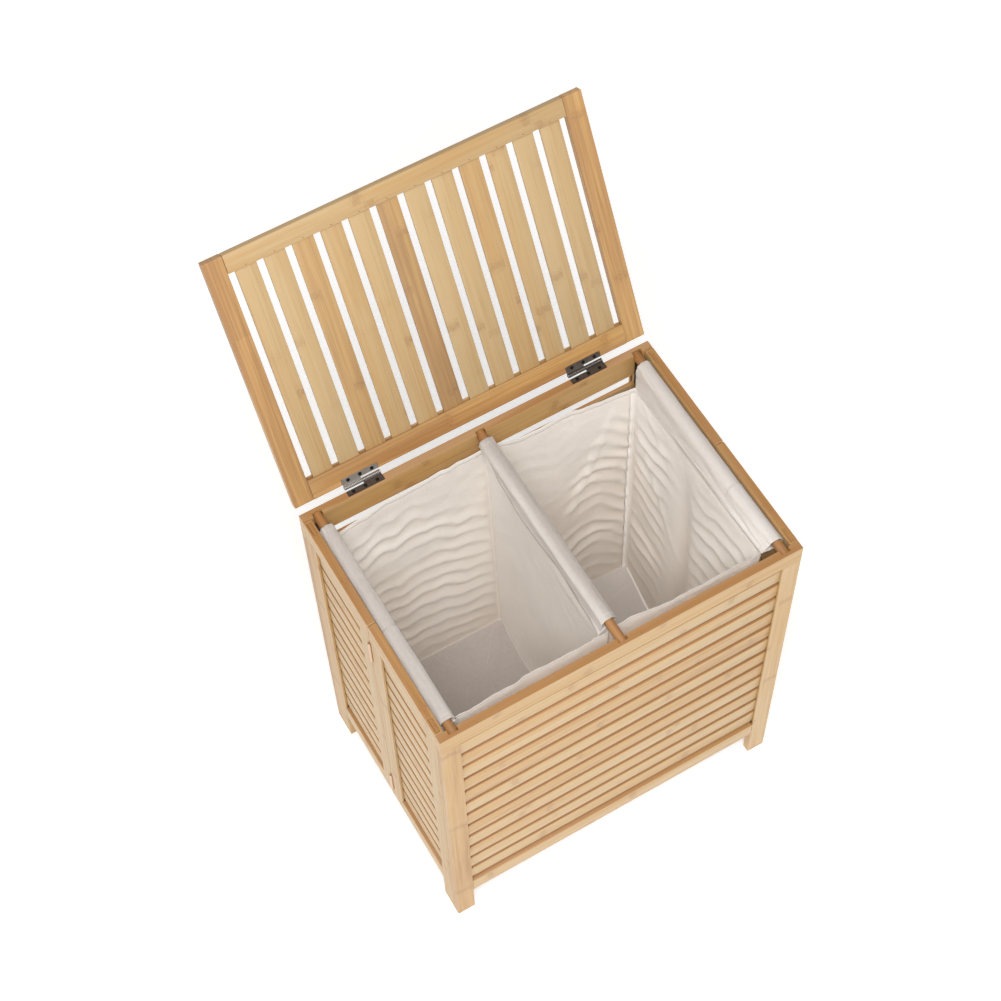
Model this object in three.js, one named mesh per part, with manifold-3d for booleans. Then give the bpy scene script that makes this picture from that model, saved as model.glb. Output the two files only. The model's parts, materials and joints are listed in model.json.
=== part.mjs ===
// Folding two-bin laundry hamper in slatted bamboo, with a hinged lid that stands open.
// Units are millimetres, +Z is up, +X is the hamper's right and -Y is its front.
import * as THREE from "three";
import { mergeVertices } from "three/addons/utils/BufferGeometryUtils.js";
import Module from "manifold-3d";

const wasm = await Module();
wasm.setup();

// Outside of the standing box, without the lid
const WIDTH = 520;
const DEPTH = 364;
const HEIGHT = 600;

// Boards
const BOARD = 11.5;
const STILE = 27;
const TOP_RAIL = 31.5;
const BACK_TOP_RAIL = 45;
const BOTTOM_RAIL = 31.5;
const FOOT = 63;

// Slats, let into a groove along the inner edges of the boards that hold them
const SLAT_WIDTH = 28.5;
const SLAT_THICK = 4.5;
const SLAT_COUNT = 12;
const BACK_SLAT_COUNT = 11;
const BACK_HAND_GAP = 27;
const TONGUE = 5;
const GROOVE = 6;
const GROOVE_STRIP = 2;

// Fits
const CLEAR = 0.3;
const OVERRUN = 5;
const END_GAP = 0.5;
const SEAM_GAP = 1;

// Tenons on top of the stiles, through the side rails and hidden in the others
const TENON_LENGTH = 20;
const TENON_THICK = 4.5;
const STUB_TENON = 12;

// Lid
const LID_SETBACK = 4;
const LID_GAP = 1.2;
const LID_REAR_RAIL = 28.5;
const LID_FRONT_RAIL = 25;
const LID_SHOULDER = 5;
const LID_OPEN_DEG = 118;

// Lid hinges: each leaf has one long knuckle, which takes half of the barrel
const LID_HINGE_LENGTH = 52;
const LID_HINGE_INSET = 68;
const LID_PIN_OUT = 5;
const LID_KNUCKLE_RADIUS = 2.8;
const LID_LEAF_ON_BOARD = 8.3;
const LID_LEAF_THICK = 1.2;

// Folding hinges: three knuckles, two on the pinned leaf and one on the other.
// The upper ones are placed from the top edge, and the lower ones from the bottom rail.
const HINGE_LENGTH = 50;
const CORNER_HINGE_DROP = 16;
const SEAM_HINGE_DROP = 45;
const LOWER_HINGE_RISE = 25;
const LEAF_THICK = 1;
const CORNER_KNUCKLE_RADIUS = 2.4;
const CORNER_PIN_OFF = 2.8;
const CORNER_LEAF_WIDTH = 12.5;
const SEAM_KNUCKLE_RADIUS = 2.2;
const SEAM_PIN_OUT = 0.8;
const SEAM_LEAF_WIDTH = 10.5;
const SEAM_POCKET_CLEAR = 0.4;
const PIN_RADIUS = 1.1;
const PIN_CLEAR = 0.2;
const KNUCKLE_GAP = 0.3;
const KNUCKLE_CLEAR = 0.4;

// Rods that carry the liner, resting in blind notches in the front and back top rails
const ROD_RADIUS = 6.5;
const ROD_SIDE_GAP = 4;
const ROD_DROP = 1;
const NOTCH_DEPTH = 6.5;
const ROUND_SIDES = 24;

// Liner of thin cloth with two bins, whose floors hang above the bottom rails or beside them
const CLOTH = 1.5;
const SLEEVE_WALL = 1;
const SLEEVE_END_GAP = 13.5;
const CENTRE_SLEEVE_FRONT_GAP = 27.5;
const HEM_DROP = 25;
const BAG_GAP = 11.5;
const LEFT_FLOOR_RISE = 38;
const RIGHT_FLOOR_RISE = 19;
const BAG_SAG = 5;
const END_WALL_TAPER = 16;
const LONG_WALL_TAPER = 6;
const BAG_CORNER = 14;
const BAG_FLOOR_CORNER = 6;
const SAG_LEVELS = 3;
const CORNER_STEPS = 4;

// Where the sizes put the main planes and axes
const HALF_WIDTH = WIDTH / 2;
const HALF_DEPTH = DEPTH / 2;
const INNER_X = HALF_WIDTH - BOARD;
const INNER_Y = HALF_DEPTH - BOARD;
const ROD_Z = HEIGHT - ROD_DROP - ROD_RADIUS;
const ROD_X = INNER_X - ROD_SIDE_GAP - ROD_RADIUS;
const HEM_Z = HEIGHT - HEM_DROP;
const BAG_HALF_DEPTH = INNER_Y - BAG_GAP;
const LID_DEPTH = DEPTH - LID_SETBACK;
const LID_HINGE_X = HALF_WIDTH - LID_HINGE_INSET - LID_HINGE_LENGTH / 2;
const LID_UNDER_Z = HEIGHT + LID_GAP;
const LID_PIN_Y = HALF_DEPTH + LID_PIN_OUT;
const LID_PIN_Z = HEIGHT + LID_GAP / 2;
const LID_OPEN = THREE.MathUtils.degToRad(LID_OPEN_DEG);

const paleBamboo = wood("pale_bamboo", 0xe3cb9c);
const warmBamboo = wood("warm_bamboo", 0xcfa068);
const rodWood = wood("rod_wood", 0xb87c42);
const cloth = new THREE.MeshStandardMaterial({ color: 0xd9d1ca, roughness: 0.95, metalness: 0 });
const darkMetal = metal("dark_metal", 0x3a322c);
const brightMetal = metal("bright_metal", 0xa8a4a0);
cloth.name = "liner_cloth";

function wood(name, color) {
  const made = new THREE.MeshStandardMaterial({ color, roughness: 0.55, metalness: 0 });
  made.name = name;
  return made;
}

function metal(name, color) {
  const made = new THREE.MeshStandardMaterial({ color, roughness: 0.4, metalness: 0.9 });
  made.name = name;
  return made;
}

// A closed geometry as a solid that can be joined and cut.
function solid(geometry) {
  const bare = geometry.index ? geometry.toNonIndexed() : geometry.clone();
  bare.deleteAttribute("normal");
  bare.deleteAttribute("uv");
  const merged = mergeVertices(bare);
  const vertProperties = new Float32Array(merged.attributes.position.array);
  const triVerts = new Uint32Array(merged.index.array);
  return new wasm.Manifold(new wasm.Mesh({ numProp: 3, vertProperties, triVerts }));
}

// A solid as a named mesh in a group.
function addPiece(group, name, shape, material) {
  const { vertProperties, triVerts } = shape.getMesh();
  const geometry = new THREE.BufferGeometry();
  geometry.setAttribute("position", new THREE.BufferAttribute(vertProperties, 3));
  geometry.setIndex(new THREE.BufferAttribute(triVerts, 1));
  geometry.computeVertexNormals();
  const mesh = new THREE.Mesh(geometry, material);
  mesh.name = name;
  group.add(mesh);
}

// A block between two places on each axis, in either order.
function block(x, y, z) {
  const size = [x, y, z].map(([a, b]) => Math.abs(b - a));
  const middle = [x, y, z].map(([a, b]) => (a + b) / 2);
  return solid(new THREE.BoxGeometry(...size).translate(...middle));
}

// A round bar along Y, or along Z for a hinge.
function barAlongY(x, z, radius, [y0, y1]) {
  const bar = new THREE.CylinderGeometry(radius, radius, Math.abs(y1 - y0), ROUND_SIDES);
  return solid(bar.translate(x, (y0 + y1) / 2, z));
}

function barAlongZ(radius, [z0, z1]) {
  const bar = new THREE.CylinderGeometry(radius, radius, Math.abs(z1 - z0), ROUND_SIDES);
  return solid(bar.rotateX(Math.PI / 2).translate(0, 0, (z0 + z1) / 2));
}

function about(middle, half) {
  return [middle - half, middle + half];
}

function joined(pieces) {
  return pieces.reduce((sum, piece) => sum.add(piece));
}

// A slatted panel that stands between u[0] and u[1], with its board thickness from v[0] to v[1].
// plate turns places along the panel, across it and up it into a block.
// feet holds the height where each stile starts, and through says which tenons show on top.
function slattedPanel({ plate, u, v, feet, through, topRail, slatCount, topGap }) {
  const along = Math.sign(u[1] - u[0]);
  const inner = [u[0] + along * STILE, u[1] - along * STILE];
  const mid = (v[0] + v[1]) / 2;
  const slatLayer = about(mid, SLAT_THICK / 2);
  const grooveLayer = about(mid, SLAT_THICK / 2 + CLEAR);
  const railUnder = HEIGHT - topRail;
  const railOver = FOOT + BOTTOM_RAIL;
  const stileTop = railUnder - CLEAR;
  const evenGap = (railUnder - railOver - slatCount * SLAT_WIDTH) / (slatCount + 1);
  const firstTop = railUnder - (topGap ?? evenGap);
  const gap = (firstTop - railOver - slatCount * SLAT_WIDTH) / slatCount;

  const tenonTops = through.map((shows) => (shows ? HEIGHT : railUnder + STUB_TENON));
  const tenonMiddles = [u[0] + (along * STILE) / 2, u[1] - (along * STILE) / 2];
  const stiles = [0, 1].map((end) => {
    const outward = end === 0 ? -along : along;
    const board = plate([u[end], inner[end]], v, [feet[end], stileTop]);
    const groove = plate(
      [inner[end] + outward * GROOVE, inner[end] - outward * OVERRUN],
      grooveLayer,
      [FOOT - CLEAR, stileTop + OVERRUN],
    );
    const tenon = plate(
      about(tenonMiddles[end], TENON_LENGTH / 2),
      about(mid, TENON_THICK / 2),
      [stileTop - GROOVE, tenonTops[end]],
    );
    return board.subtract(groove).add(tenon);
  });

  let top = plate(u, v, [railUnder, HEIGHT]);
  for (const end of [0, 1]) {
    const mortiseTop = tenonTops[end] + (through[end] ? OVERRUN : CLEAR);
    top = top.subtract(
      plate(
        about(tenonMiddles[end], TENON_LENGTH / 2 + CLEAR),
        about(mid, TENON_THICK / 2 + CLEAR),
        [railUnder - OVERRUN, mortiseTop],
      ),
    );
  }

  const tongues = [inner[0] - along * TONGUE, inner[1] + along * TONGUE];
  const pieces = [
    plate([inner[0] + along * CLEAR, inner[1] - along * CLEAR], v, [FOOT, railOver]),
    plate(tongues, slatLayer, [FOOT, railOver]),
  ];
  for (let i = 0; i < slatCount; i += 1) {
    const slatTop = firstTop - i * (SLAT_WIDTH + gap);
    pieces.push(plate(tongues, slatLayer, [slatTop - SLAT_WIDTH, slatTop]));
  }
  const stripTop = firstTop - SLAT_WIDTH / 2;
  pieces.push(plate([tongues[0], tongues[0] + along * GROOVE_STRIP], slatLayer, [FOOT, stripTop]));
  pieces.push(plate([tongues[1], tongues[1] - along * GROOVE_STRIP], slatLayer, [FOOT, stripTop]));
  return { stiles, top, infill: joined(pieces) };
}

const alongX = (u, v, z) => block(u, v, z);
const alongY = (u, v, z) => block(v, u, z);

// One leaf of a hinge, with its pin on the local Z axis and its plate towards local +X.
// near is how far the plate's inner face lies from the pin, on the local +Y side.
function hingeLeaf({ length, radius, near, thick, reach, width, knuckles, pinned }) {
  const far = near + thick;
  const half = length / 2;
  const pieces = [block([reach, width], [near, far], [-half, half])];
  for (const span of knuckles) {
    pieces.push(barAlongZ(radius, span));
    pieces.push(block([0, reach + CLEAR], [near, Math.min(far, radius)], span));
  }
  const bore = barAlongZ(PIN_RADIUS + PIN_CLEAR, [-half - OVERRUN, half + OVERRUN]);
  if (!pinned) return joined(pieces).subtract(bore);
  return joined(pieces).add(barAlongZ(PIN_RADIUS, [-half, half]));
}

// The knuckles of a folding hinge: the pinned leaf has the outer two.
function knuckleSpans(pinned) {
  const step = HINGE_LENGTH / 3;
  const edge = step / 2;
  const half = HINGE_LENGTH / 2;
  if (!pinned) return [[-edge + KNUCKLE_GAP, edge - KNUCKLE_GAP]];
  return [
    [-half, -edge],
    [edge, half],
  ];
}

// A shape made about a local pin, put where its plate points along x, on the side that y points to.
function placed(shape, x, y, at) {
  const basis = new THREE.Matrix4();
  const z = new THREE.Vector3().crossVectors(x, y);
  basis.makeBasis(x, y, z).setPosition(at);
  return shape.transform(basis.elements);
}

const cornerLeaf = (pinned) =>
  hingeLeaf({
    length: HINGE_LENGTH,
    radius: CORNER_KNUCKLE_RADIUS,
    near: CORNER_PIN_OFF - CLEAR - LEAF_THICK,
    thick: LEAF_THICK,
    reach: CORNER_KNUCKLE_RADIUS + KNUCKLE_CLEAR,
    width: CORNER_LEAF_WIDTH,
    knuckles: knuckleSpans(pinned),
    pinned,
  });

const seamLeaf = (pinned) =>
  hingeLeaf({
    length: HINGE_LENGTH,
    radius: SEAM_KNUCKLE_RADIUS,
    near: SEAM_GAP / 2,
    thick: LEAF_THICK,
    reach: SEAM_KNUCKLE_RADIUS + KNUCKLE_CLEAR,
    width: SEAM_LEAF_WIDTH,
    knuckles: knuckleSpans(pinned),
    pinned,
  });

const lidLeaf = (pinned) =>
  hingeLeaf({
    length: LID_HINGE_LENGTH,
    radius: LID_KNUCKLE_RADIUS,
    near: LID_GAP / 2,
    thick: LID_LEAF_THICK,
    reach: LID_PIN_OUT,
    width: LID_PIN_OUT + LID_LEAF_ON_BOARD,
    knuckles: [[KNUCKLE_GAP / 2, LID_HINGE_LENGTH / 2]],
    pinned,
  });

const hamper = new THREE.Group();
const lowerHingeZ = FOOT + LOWER_HINGE_RISE + HINGE_LENGTH / 2;
const cornerHeights = {
  upper: HEIGHT - CORNER_HINGE_DROP - HINGE_LENGTH / 2,
  lower: lowerHingeZ,
};
const seamHeights = {
  upper: HEIGHT - SEAM_HINGE_DROP - HINGE_LENGTH / 2,
  lower: lowerHingeZ,
};
const lidHingeXs = { left: -LID_HINGE_X, right: LID_HINGE_X };
const sides = { left: -1, right: 1 };
const ends = { rear: 1, front: -1 };

// The blind notches that the three rods rest in, cut from the inner face of a top rail.
function rodNotches(end) {
  const floor = end * (INNER_Y + NOTCH_DEPTH);
  const mouth = end * (INNER_Y - OVERRUN);
  const radius = ROD_RADIUS + CLEAR;
  return joined(
    [-ROD_X, 0, ROD_X].flatMap((x) => [
      barAlongY(x, ROD_Z, radius, [floor, mouth]),
      block(about(x, radius), [floor, mouth], [ROD_Z, HEIGHT + OVERRUN]),
    ]),
  );
}

// The shallow beds of the lid hinges, on the back rail's top or on the lid's underside.
function lidHingeBeds(face, depth) {
  return joined(
    Object.values(lidHingeXs).map((x) =>
      block(
        about(x, LID_HINGE_LENGTH / 2 + CLEAR),
        [HALF_DEPTH - LID_LEAF_ON_BOARD - CLEAR, HALF_DEPTH + OVERRUN],
        [face - depth, face + depth],
      ),
    ),
  );
}

// Front and back frames
for (const [name, end] of Object.entries({ back: 1, front: -1 })) {
  const group = new THREE.Group();
  const isBack = end === 1;
  const panel = slattedPanel({
    plate: alongX,
    u: [-HALF_WIDTH, HALF_WIDTH],
    v: [end * INNER_Y, end * HALF_DEPTH],
    feet: [0, 0],
    through: [false, false],
    topRail: isBack ? BACK_TOP_RAIL : TOP_RAIL,
    slatCount: isBack ? BACK_SLAT_COUNT : SLAT_COUNT,
    topGap: isBack ? BACK_HAND_GAP : undefined,
  });
  let top = panel.top.subtract(rodNotches(end));
  if (isBack) top = top.subtract(lidHingeBeds(HEIGHT, LID_LEAF_THICK + CLEAR));
  addPiece(group, `${name}_left_leg`, panel.stiles[0], paleBamboo);
  addPiece(group, `${name}_right_leg`, panel.stiles[1], paleBamboo);
  addPiece(group, `${name}_top_rail`, top, isBack ? warmBamboo : paleBamboo);
  addPiece(group, `${name}_slats_and_bottom_rail`, panel.infill, paleBamboo);
  hamper.add(group);
}

// The space that a seam hinge takes from the edge of its stile: a bed for the leaf and a pocket
// round the knuckles.
function seamHingeCut(side, end, z) {
  const pinX = side * (HALF_WIDTH + SEAM_PIN_OUT);
  const length = about(z, HINGE_LENGTH / 2 + CLEAR);
  const pocket = SEAM_KNUCKLE_RADIUS + SEAM_POCKET_CLEAR;
  const bedEnd = pinX - side * (SEAM_LEAF_WIDTH + CLEAR);
  const bedDeep = end * (SEAM_GAP / 2 + LEAF_THICK + CLEAR);
  return joined([
    block([pinX, bedEnd], [0, bedDeep], length),
    block([pinX + side * OVERRUN, pinX - side * pocket], [0, end * pocket], length),
  ]);
}

// Side panels: each side is two halves that fold inwards at a seam
for (const [sideName, side] of Object.entries(sides)) {
  for (const [endName, end] of Object.entries(ends)) {
    const half = `${sideName}_${endName}`;
    const group = new THREE.Group();
    const panel = slattedPanel({
      plate: alongY,
      u: [(end * SEAM_GAP) / 2, end * (INNER_Y - END_GAP)],
      v: [side * INNER_X, side * HALF_WIDTH],
      feet: [FOOT, 0],
      through: [false, true],
      topRail: TOP_RAIL,
      slatCount: SLAT_COUNT,
    });
    let seamStile = panel.stiles[0];
    for (const z of Object.values(seamHeights)) {
      seamStile = seamStile.subtract(seamHingeCut(side, end, z));
    }
    addPiece(group, `${half}_seam_stile`, seamStile, paleBamboo);
    addPiece(group, `${half}_outer_stile`, panel.stiles[1], paleBamboo);
    addPiece(group, `${half}_top_rail`, panel.top, warmBamboo);
    addPiece(group, `${half}_slats_and_bottom_rail`, panel.infill, paleBamboo);
    hamper.add(group);
  }
}

// Corner hinges on the inside, and seam hinges with their knuckles on the outside
const back = (sign) => new THREE.Vector3(0, sign, 0);
const right = (sign) => new THREE.Vector3(sign, 0, 0);
const up = (sign) => new THREE.Vector3(0, 0, sign);
for (const [sideName, side] of Object.entries(sides)) {
  const seamX = side * (HALF_WIDTH + SEAM_PIN_OUT);
  const cornerX = side * (INNER_X - CORNER_PIN_OFF);
  for (const [endName, end] of Object.entries(ends)) {
    const cornerY = end * (INNER_Y - CORNER_PIN_OFF);
    for (const [heightName, z] of Object.entries(cornerHeights)) {
      const pin = new THREE.Vector3(cornerX, cornerY, z);
      const name = `${sideName}_${endName}_corner_hinge_${heightName}`;
      const frameLeaf = placed(cornerLeaf(true), right(-side), back(end), pin);
      const panelLeaf = placed(cornerLeaf(false), back(-end), right(side), pin);
      addPiece(hamper, `${name}_frame_leaf`, frameLeaf, darkMetal);
      addPiece(hamper, `${name}_panel_leaf`, panelLeaf, darkMetal);
    }
    for (const [heightName, z] of Object.entries(seamHeights)) {
      const pin = new THREE.Vector3(seamX, 0, z);
      const name = `${sideName}_seam_hinge_${heightName}_${endName}_leaf`;
      const leaf = placed(seamLeaf(end === 1), right(-side), back(end), pin);
      addPiece(hamper, name, leaf, brightMetal);
    }
  }
}

// Lid, built closed about its hinge pins and then turned open
const lid = new THREE.Group();
const lidX = HALF_WIDTH - STILE;
const lidLayer = [LID_UNDER_Z, LID_UNDER_Z + BOARD];
const lidMid = LID_UNDER_Z + BOARD / 2;
const lidFrontY = HALF_DEPTH - LID_DEPTH;
const frontRailEdge = lidFrontY + LID_FRONT_RAIL;
const rearRailEdge = HALF_DEPTH - LID_REAR_RAIL;
const lidSlatLayer = about(lidMid, SLAT_THICK / 2);
const lidGrooveLayer = about(lidMid, SLAT_THICK / 2 + CLEAR);
const lidRails = { front: [lidFrontY, frontRailEdge], rear: [rearRailEdge, HALF_DEPTH] };

function railTongue([y0, y1], reach, extra, layer) {
  const y = [y0 + LID_SHOULDER - extra, y1 - LID_SHOULDER + extra];
  return block([-lidX - reach, lidX + reach], y, layer);
}

function lidRail(span) {
  const board = block([-lidX + CLEAR, lidX - CLEAR], span, lidLayer);
  return board.add(railTongue(span, TONGUE, 0, lidSlatLayer));
}

const lidMortises = Object.values(lidRails).map((span) =>
  railTongue(span, GROOVE, CLEAR, lidGrooveLayer),
);
for (const [name, side] of Object.entries(sides)) {
  const board = block([side * lidX, side * HALF_WIDTH], [lidFrontY, HALF_DEPTH], lidLayer);
  const stile = board.subtract(joined(lidMortises));
  addLidPiece(`lid_${name}_stile`, stile, warmBamboo);
}

const lidGroove = block(
  [-lidX - OVERRUN, lidX + OVERRUN],
  [rearRailEdge - OVERRUN, rearRailEdge + GROOVE],
  lidGrooveLayer,
);
const lidRearRail = lidRail(lidRails.rear)
  .subtract(lidGroove)
  .subtract(lidHingeBeds(LID_UNDER_Z, LID_LEAF_THICK + CLEAR));
addLidPiece("lid_rear_rail", lidRearRail, warmBamboo);

const lidSlatGap = (2 * lidX - SLAT_COUNT * SLAT_WIDTH) / (SLAT_COUNT + 1);
const lidSlats = [];
for (let i = 0; i < SLAT_COUNT; i += 1) {
  const start = -lidX + lidSlatGap + i * (SLAT_WIDTH + lidSlatGap);
  const span = [frontRailEdge - TONGUE, rearRailEdge + TONGUE];
  lidSlats.push(block([start, start + SLAT_WIDTH], span, lidSlatLayer));
}
const lidStripX = lidX - lidSlatGap;
lidSlats.push(
  block(
    [-lidStripX, lidStripX],
    [rearRailEdge + TONGUE - GROOVE_STRIP, rearRailEdge + TONGUE],
    lidSlatLayer,
  ),
);
addLidPiece("lid_slats_and_front_rail", joined([lidRail(lidRails.front), ...lidSlats]), warmBamboo);

function addLidPiece(name, shape, material) {
  addPiece(lid, name, shape.translate([0, -LID_PIN_Y, -LID_PIN_Z]), material);
}

for (const [name, x] of Object.entries(lidHingeXs)) {
  const pin = new THREE.Vector3(x, LID_PIN_Y, LID_PIN_Z);
  const boxLeaf = placed(lidLeaf(true), back(-1), up(-1), pin);
  addPiece(hamper, `${name}_lid_hinge_box_leaf`, boxLeaf, darkMetal);
  addLidPiece(`${name}_lid_hinge_lid_leaf`, placed(lidLeaf(false), back(-1), up(1), pin), darkMetal);
}
lid.position.set(0, LID_PIN_Y, LID_PIN_Z);
lid.rotation.x = -LID_OPEN;
hamper.add(lid);

// Rods
const rodXs = { left: -ROD_X, centre: 0, right: ROD_X };
const rodEnd = INNER_Y + NOTCH_DEPTH - END_GAP;
for (const [name, x] of Object.entries(rodXs)) {
  addPiece(hamper, `${name}_rod`, barAlongY(x, ROD_Z, ROD_RADIUS, [-rodEnd, rodEnd]), rodWood);
}

// One level of a bag: a rectangle with round corners, as points that run anticlockwise.
function bagRing([x0, x1], [y0, y1], radius, z) {
  const points = [];
  const corners = [
    [x1 - radius, y1 - radius],
    [x0 + radius, y1 - radius],
    [x0 + radius, y0 + radius],
    [x1 - radius, y0 + radius],
  ];
  corners.forEach(([x, y], quarter) => {
    for (let step = 0; step <= CORNER_STEPS; step += 1) {
      const angle = (quarter + step / CORNER_STEPS) * (Math.PI / 2);
      points.push([x + radius * Math.cos(angle), y + radius * Math.sin(angle), z]);
    }
  });
  return points;
}

// A closed form through rings of points from the top down, with flat ends.
function loft(rings) {
  const count = rings[0].length;
  const last = rings.length - 1;
  const centre = (ring) => [0, 1, 2].map((k) => ring.reduce((sum, p) => sum + p[k], 0) / count);
  const points = [...rings.flat(), centre(rings[0]), centre(rings[last])];
  const topPoint = rings.length * count;
  const index = [];
  for (let i = 0; i < count; i += 1) {
    const next = (i + 1) % count;
    index.push(topPoint, i, next);
    index.push(topPoint + 1, last * count + next, last * count + i);
    for (let r = 0; r < last; r += 1) {
      const [a, b] = [r * count + i, r * count + next];
      index.push(a, a + count, b + count, a, b + count, b);
    }
  }
  const geometry = new THREE.BufferGeometry();
  geometry.setAttribute("position", new THREE.Float32BufferAttribute(points.flat(), 3));
  geometry.setIndex(index);
  return solid(geometry);
}

// A bag between its end wall under a side rod and the divider under the centre rod.
// inset is the cloth's thickness for the hollow, and 0 for the outside.
function bagForm(side, inset, topZ) {
  const floor = FOOT + (side < 0 ? LEFT_FLOOR_RISE : RIGHT_FLOOR_RISE);
  const levels = [
    { z: topZ, taper: 0, shrink: 0 },
    { z: floor + inset + BAG_FLOOR_CORNER, taper: 1, shrink: 0 },
    { z: floor + inset, taper: 1, shrink: BAG_FLOOR_CORNER / 2 },
  ];
  for (let i = 1; i <= SAG_LEVELS; i += 1) {
    const share = i / (SAG_LEVELS + 1);
    const drop = BAG_SAG * Math.sin((share * Math.PI) / 2);
    levels.push({ z: floor + inset - drop, taper: 1, shrink: (share * ROD_X) / 2 });
  }
  const rings = levels.map(({ z, taper, shrink }) => {
    const out = ROD_X + CLOTH / 2 - inset - taper * END_WALL_TAPER - shrink;
    const middle = inset - CLOTH / 2 + shrink;
    const y = BAG_HALF_DEPTH - inset - taper * LONG_WALL_TAPER - shrink;
    const x = side > 0 ? [middle, out] : [-out, -middle];
    return bagRing(x, [-y, y], BAG_CORNER - inset, z);
  });
  return loft(rings);
}

// Liner: two bags side by side, hung by sleeves on the three rods
const sleeveOuter = ROD_RADIUS + CLEAR + SLEEVE_WALL;
const sleeveEnd = INNER_Y - SLEEVE_END_GAP;
const sleeveSpans = {
  left: [-sleeveEnd, sleeveEnd],
  centre: [CENTRE_SLEEVE_FRONT_GAP - INNER_Y, sleeveEnd],
  right: [-sleeveEnd, sleeveEnd],
};
const linerPieces = [bagForm(-1, 0, HEM_Z), bagForm(1, 0, HEM_Z)];
let liner = joined(linerPieces);
for (const side of Object.values(sides)) {
  liner = liner.subtract(bagForm(side, CLOTH, HEM_Z + OVERRUN));
}
for (const [name, x] of Object.entries(rodXs)) {
  const span = sleeveSpans[name];
  const wallSpan = [Math.max(span[0], BAG_CORNER - BAG_HALF_DEPTH), BAG_HALF_DEPTH - BAG_CORNER];
  liner = liner
    .add(barAlongY(x, ROD_Z, sleeveOuter, span))
    .add(block(about(x, CLOTH / 2), wallSpan, [HEM_Z - CLOTH, ROD_Z - ROD_RADIUS - CLEAR]));
}
for (const x of Object.values(rodXs)) {
  liner = liner.subtract(barAlongY(x, ROD_Z, ROD_RADIUS + CLEAR, [-rodEnd, rodEnd]));
}
addPiece(hamper, "liner", liner, cloth);

// The origin is under the middle of the whole hamper, open lid included
const lidReach = LID_PIN_OUT + LID_DEPTH;
const lidTopOff = LID_GAP / 2 + BOARD;
const rearMost = LID_PIN_Y - Math.cos(LID_OPEN) * lidReach + Math.sin(LID_OPEN) * lidTopOff;
hamper.position.y = -(rearMost - HALF_DEPTH) / 2;

export default hamper;
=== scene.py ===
"""Folding bamboo laundry hamper with two cloth bins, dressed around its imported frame."""

import functools
import itertools
import json
import math
from typing import NamedTuple

import bmesh
import bpy
import numpy as np
from mathutils import Matrix, Vector, noise


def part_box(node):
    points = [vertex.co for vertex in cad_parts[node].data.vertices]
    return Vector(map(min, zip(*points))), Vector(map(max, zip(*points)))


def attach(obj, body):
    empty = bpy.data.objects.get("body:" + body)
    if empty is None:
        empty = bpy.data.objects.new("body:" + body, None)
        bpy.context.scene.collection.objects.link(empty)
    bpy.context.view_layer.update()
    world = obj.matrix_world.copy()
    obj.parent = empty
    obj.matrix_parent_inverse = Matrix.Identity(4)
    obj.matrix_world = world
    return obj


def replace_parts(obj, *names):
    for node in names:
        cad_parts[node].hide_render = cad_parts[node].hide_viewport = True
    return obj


bl_info = {
    "name": "Folding Laundry Hamper",
    "version": (1, 0, 0),
    "blender": (4, 5, 0),
    "location": "3D View > Sidebar > Hamper",
    "description": "Bamboo boards, hinges and a two-bin cloth liner around the hamper's frame",
    "category": "Object",
}

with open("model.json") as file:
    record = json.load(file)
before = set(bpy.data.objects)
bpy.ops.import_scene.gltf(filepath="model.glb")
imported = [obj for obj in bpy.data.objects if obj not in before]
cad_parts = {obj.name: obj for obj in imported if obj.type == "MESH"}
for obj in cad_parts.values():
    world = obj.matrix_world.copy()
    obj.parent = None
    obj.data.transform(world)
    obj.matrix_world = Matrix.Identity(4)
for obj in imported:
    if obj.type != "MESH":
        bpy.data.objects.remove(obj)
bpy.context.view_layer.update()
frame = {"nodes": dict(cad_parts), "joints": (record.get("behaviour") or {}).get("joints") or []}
NODES = frame["nodes"]
SIDES = {"left": -1, "right": 1}
ENDS = {"rear": 1, "front": -1}
JOINTS = {joint["name"]: joint for joint in frame["joints"]}


def mm(value):
    """Millimetres as metres."""
    return value * 0.001


def span(node, axis):
    """Lowest and highest place of a CAD node along an axis, in metres."""
    low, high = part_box(node)
    return low[axis], high[axis]


# Main planes of the hamper, read from its frame
BACK_Y = span("back_top_rail", 1)[1]
FRONT_Y = span("front_top_rail", 1)[0]
TOP_Z = span("back_top_rail", 2)[1]
MIDDLE_Y = (BACK_Y + FRONT_Y) / 2
LID_PIN = Vector(JOINTS["lid_hinge"]["pos_m"])
LID_OPEN = math.radians(JOINTS["lid_hinge"]["range_deg"][1])
ROD_SPANS = {name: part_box(f"{name}_rod") for name in ("left", "centre", "right")}
ROD_RADIUS = (ROD_SPANS["left"][1][0] - ROD_SPANS["left"][0][0]) / 2
ROD_Z = (ROD_SPANS["left"][1][2] + ROD_SPANS["left"][0][2]) / 2
ROD_X = (ROD_SPANS["right"][1][0] + ROD_SPANS["right"][0][0]) / 2


# ---- settings ------------------------------------------------------------------------


def length(name, text, value_mm):
    """A length setting, given in millimetres and kept in metres."""
    return bpy.props.FloatProperty(
        name=name, description=text, default=mm(value_mm), unit="LENGTH", precision=4
    )


def share(name, text, value, top=1.0):
    """A setting without a unit."""
    return bpy.props.FloatProperty(name=name, description=text, default=value, min=0.0, max=top)


def bearing(name, text, degrees):
    """An angle setting, given in degrees."""
    return bpy.props.FloatProperty(
        name=name, description=text, default=math.radians(degrees), subtype="ANGLE"
    )


def colour(name, text, value):
    """A colour setting, in scene linear values."""
    return bpy.props.FloatVectorProperty(
        name=name, description=text, default=value, subtype="COLOR", size=3, min=0, max=1
    )


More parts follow.
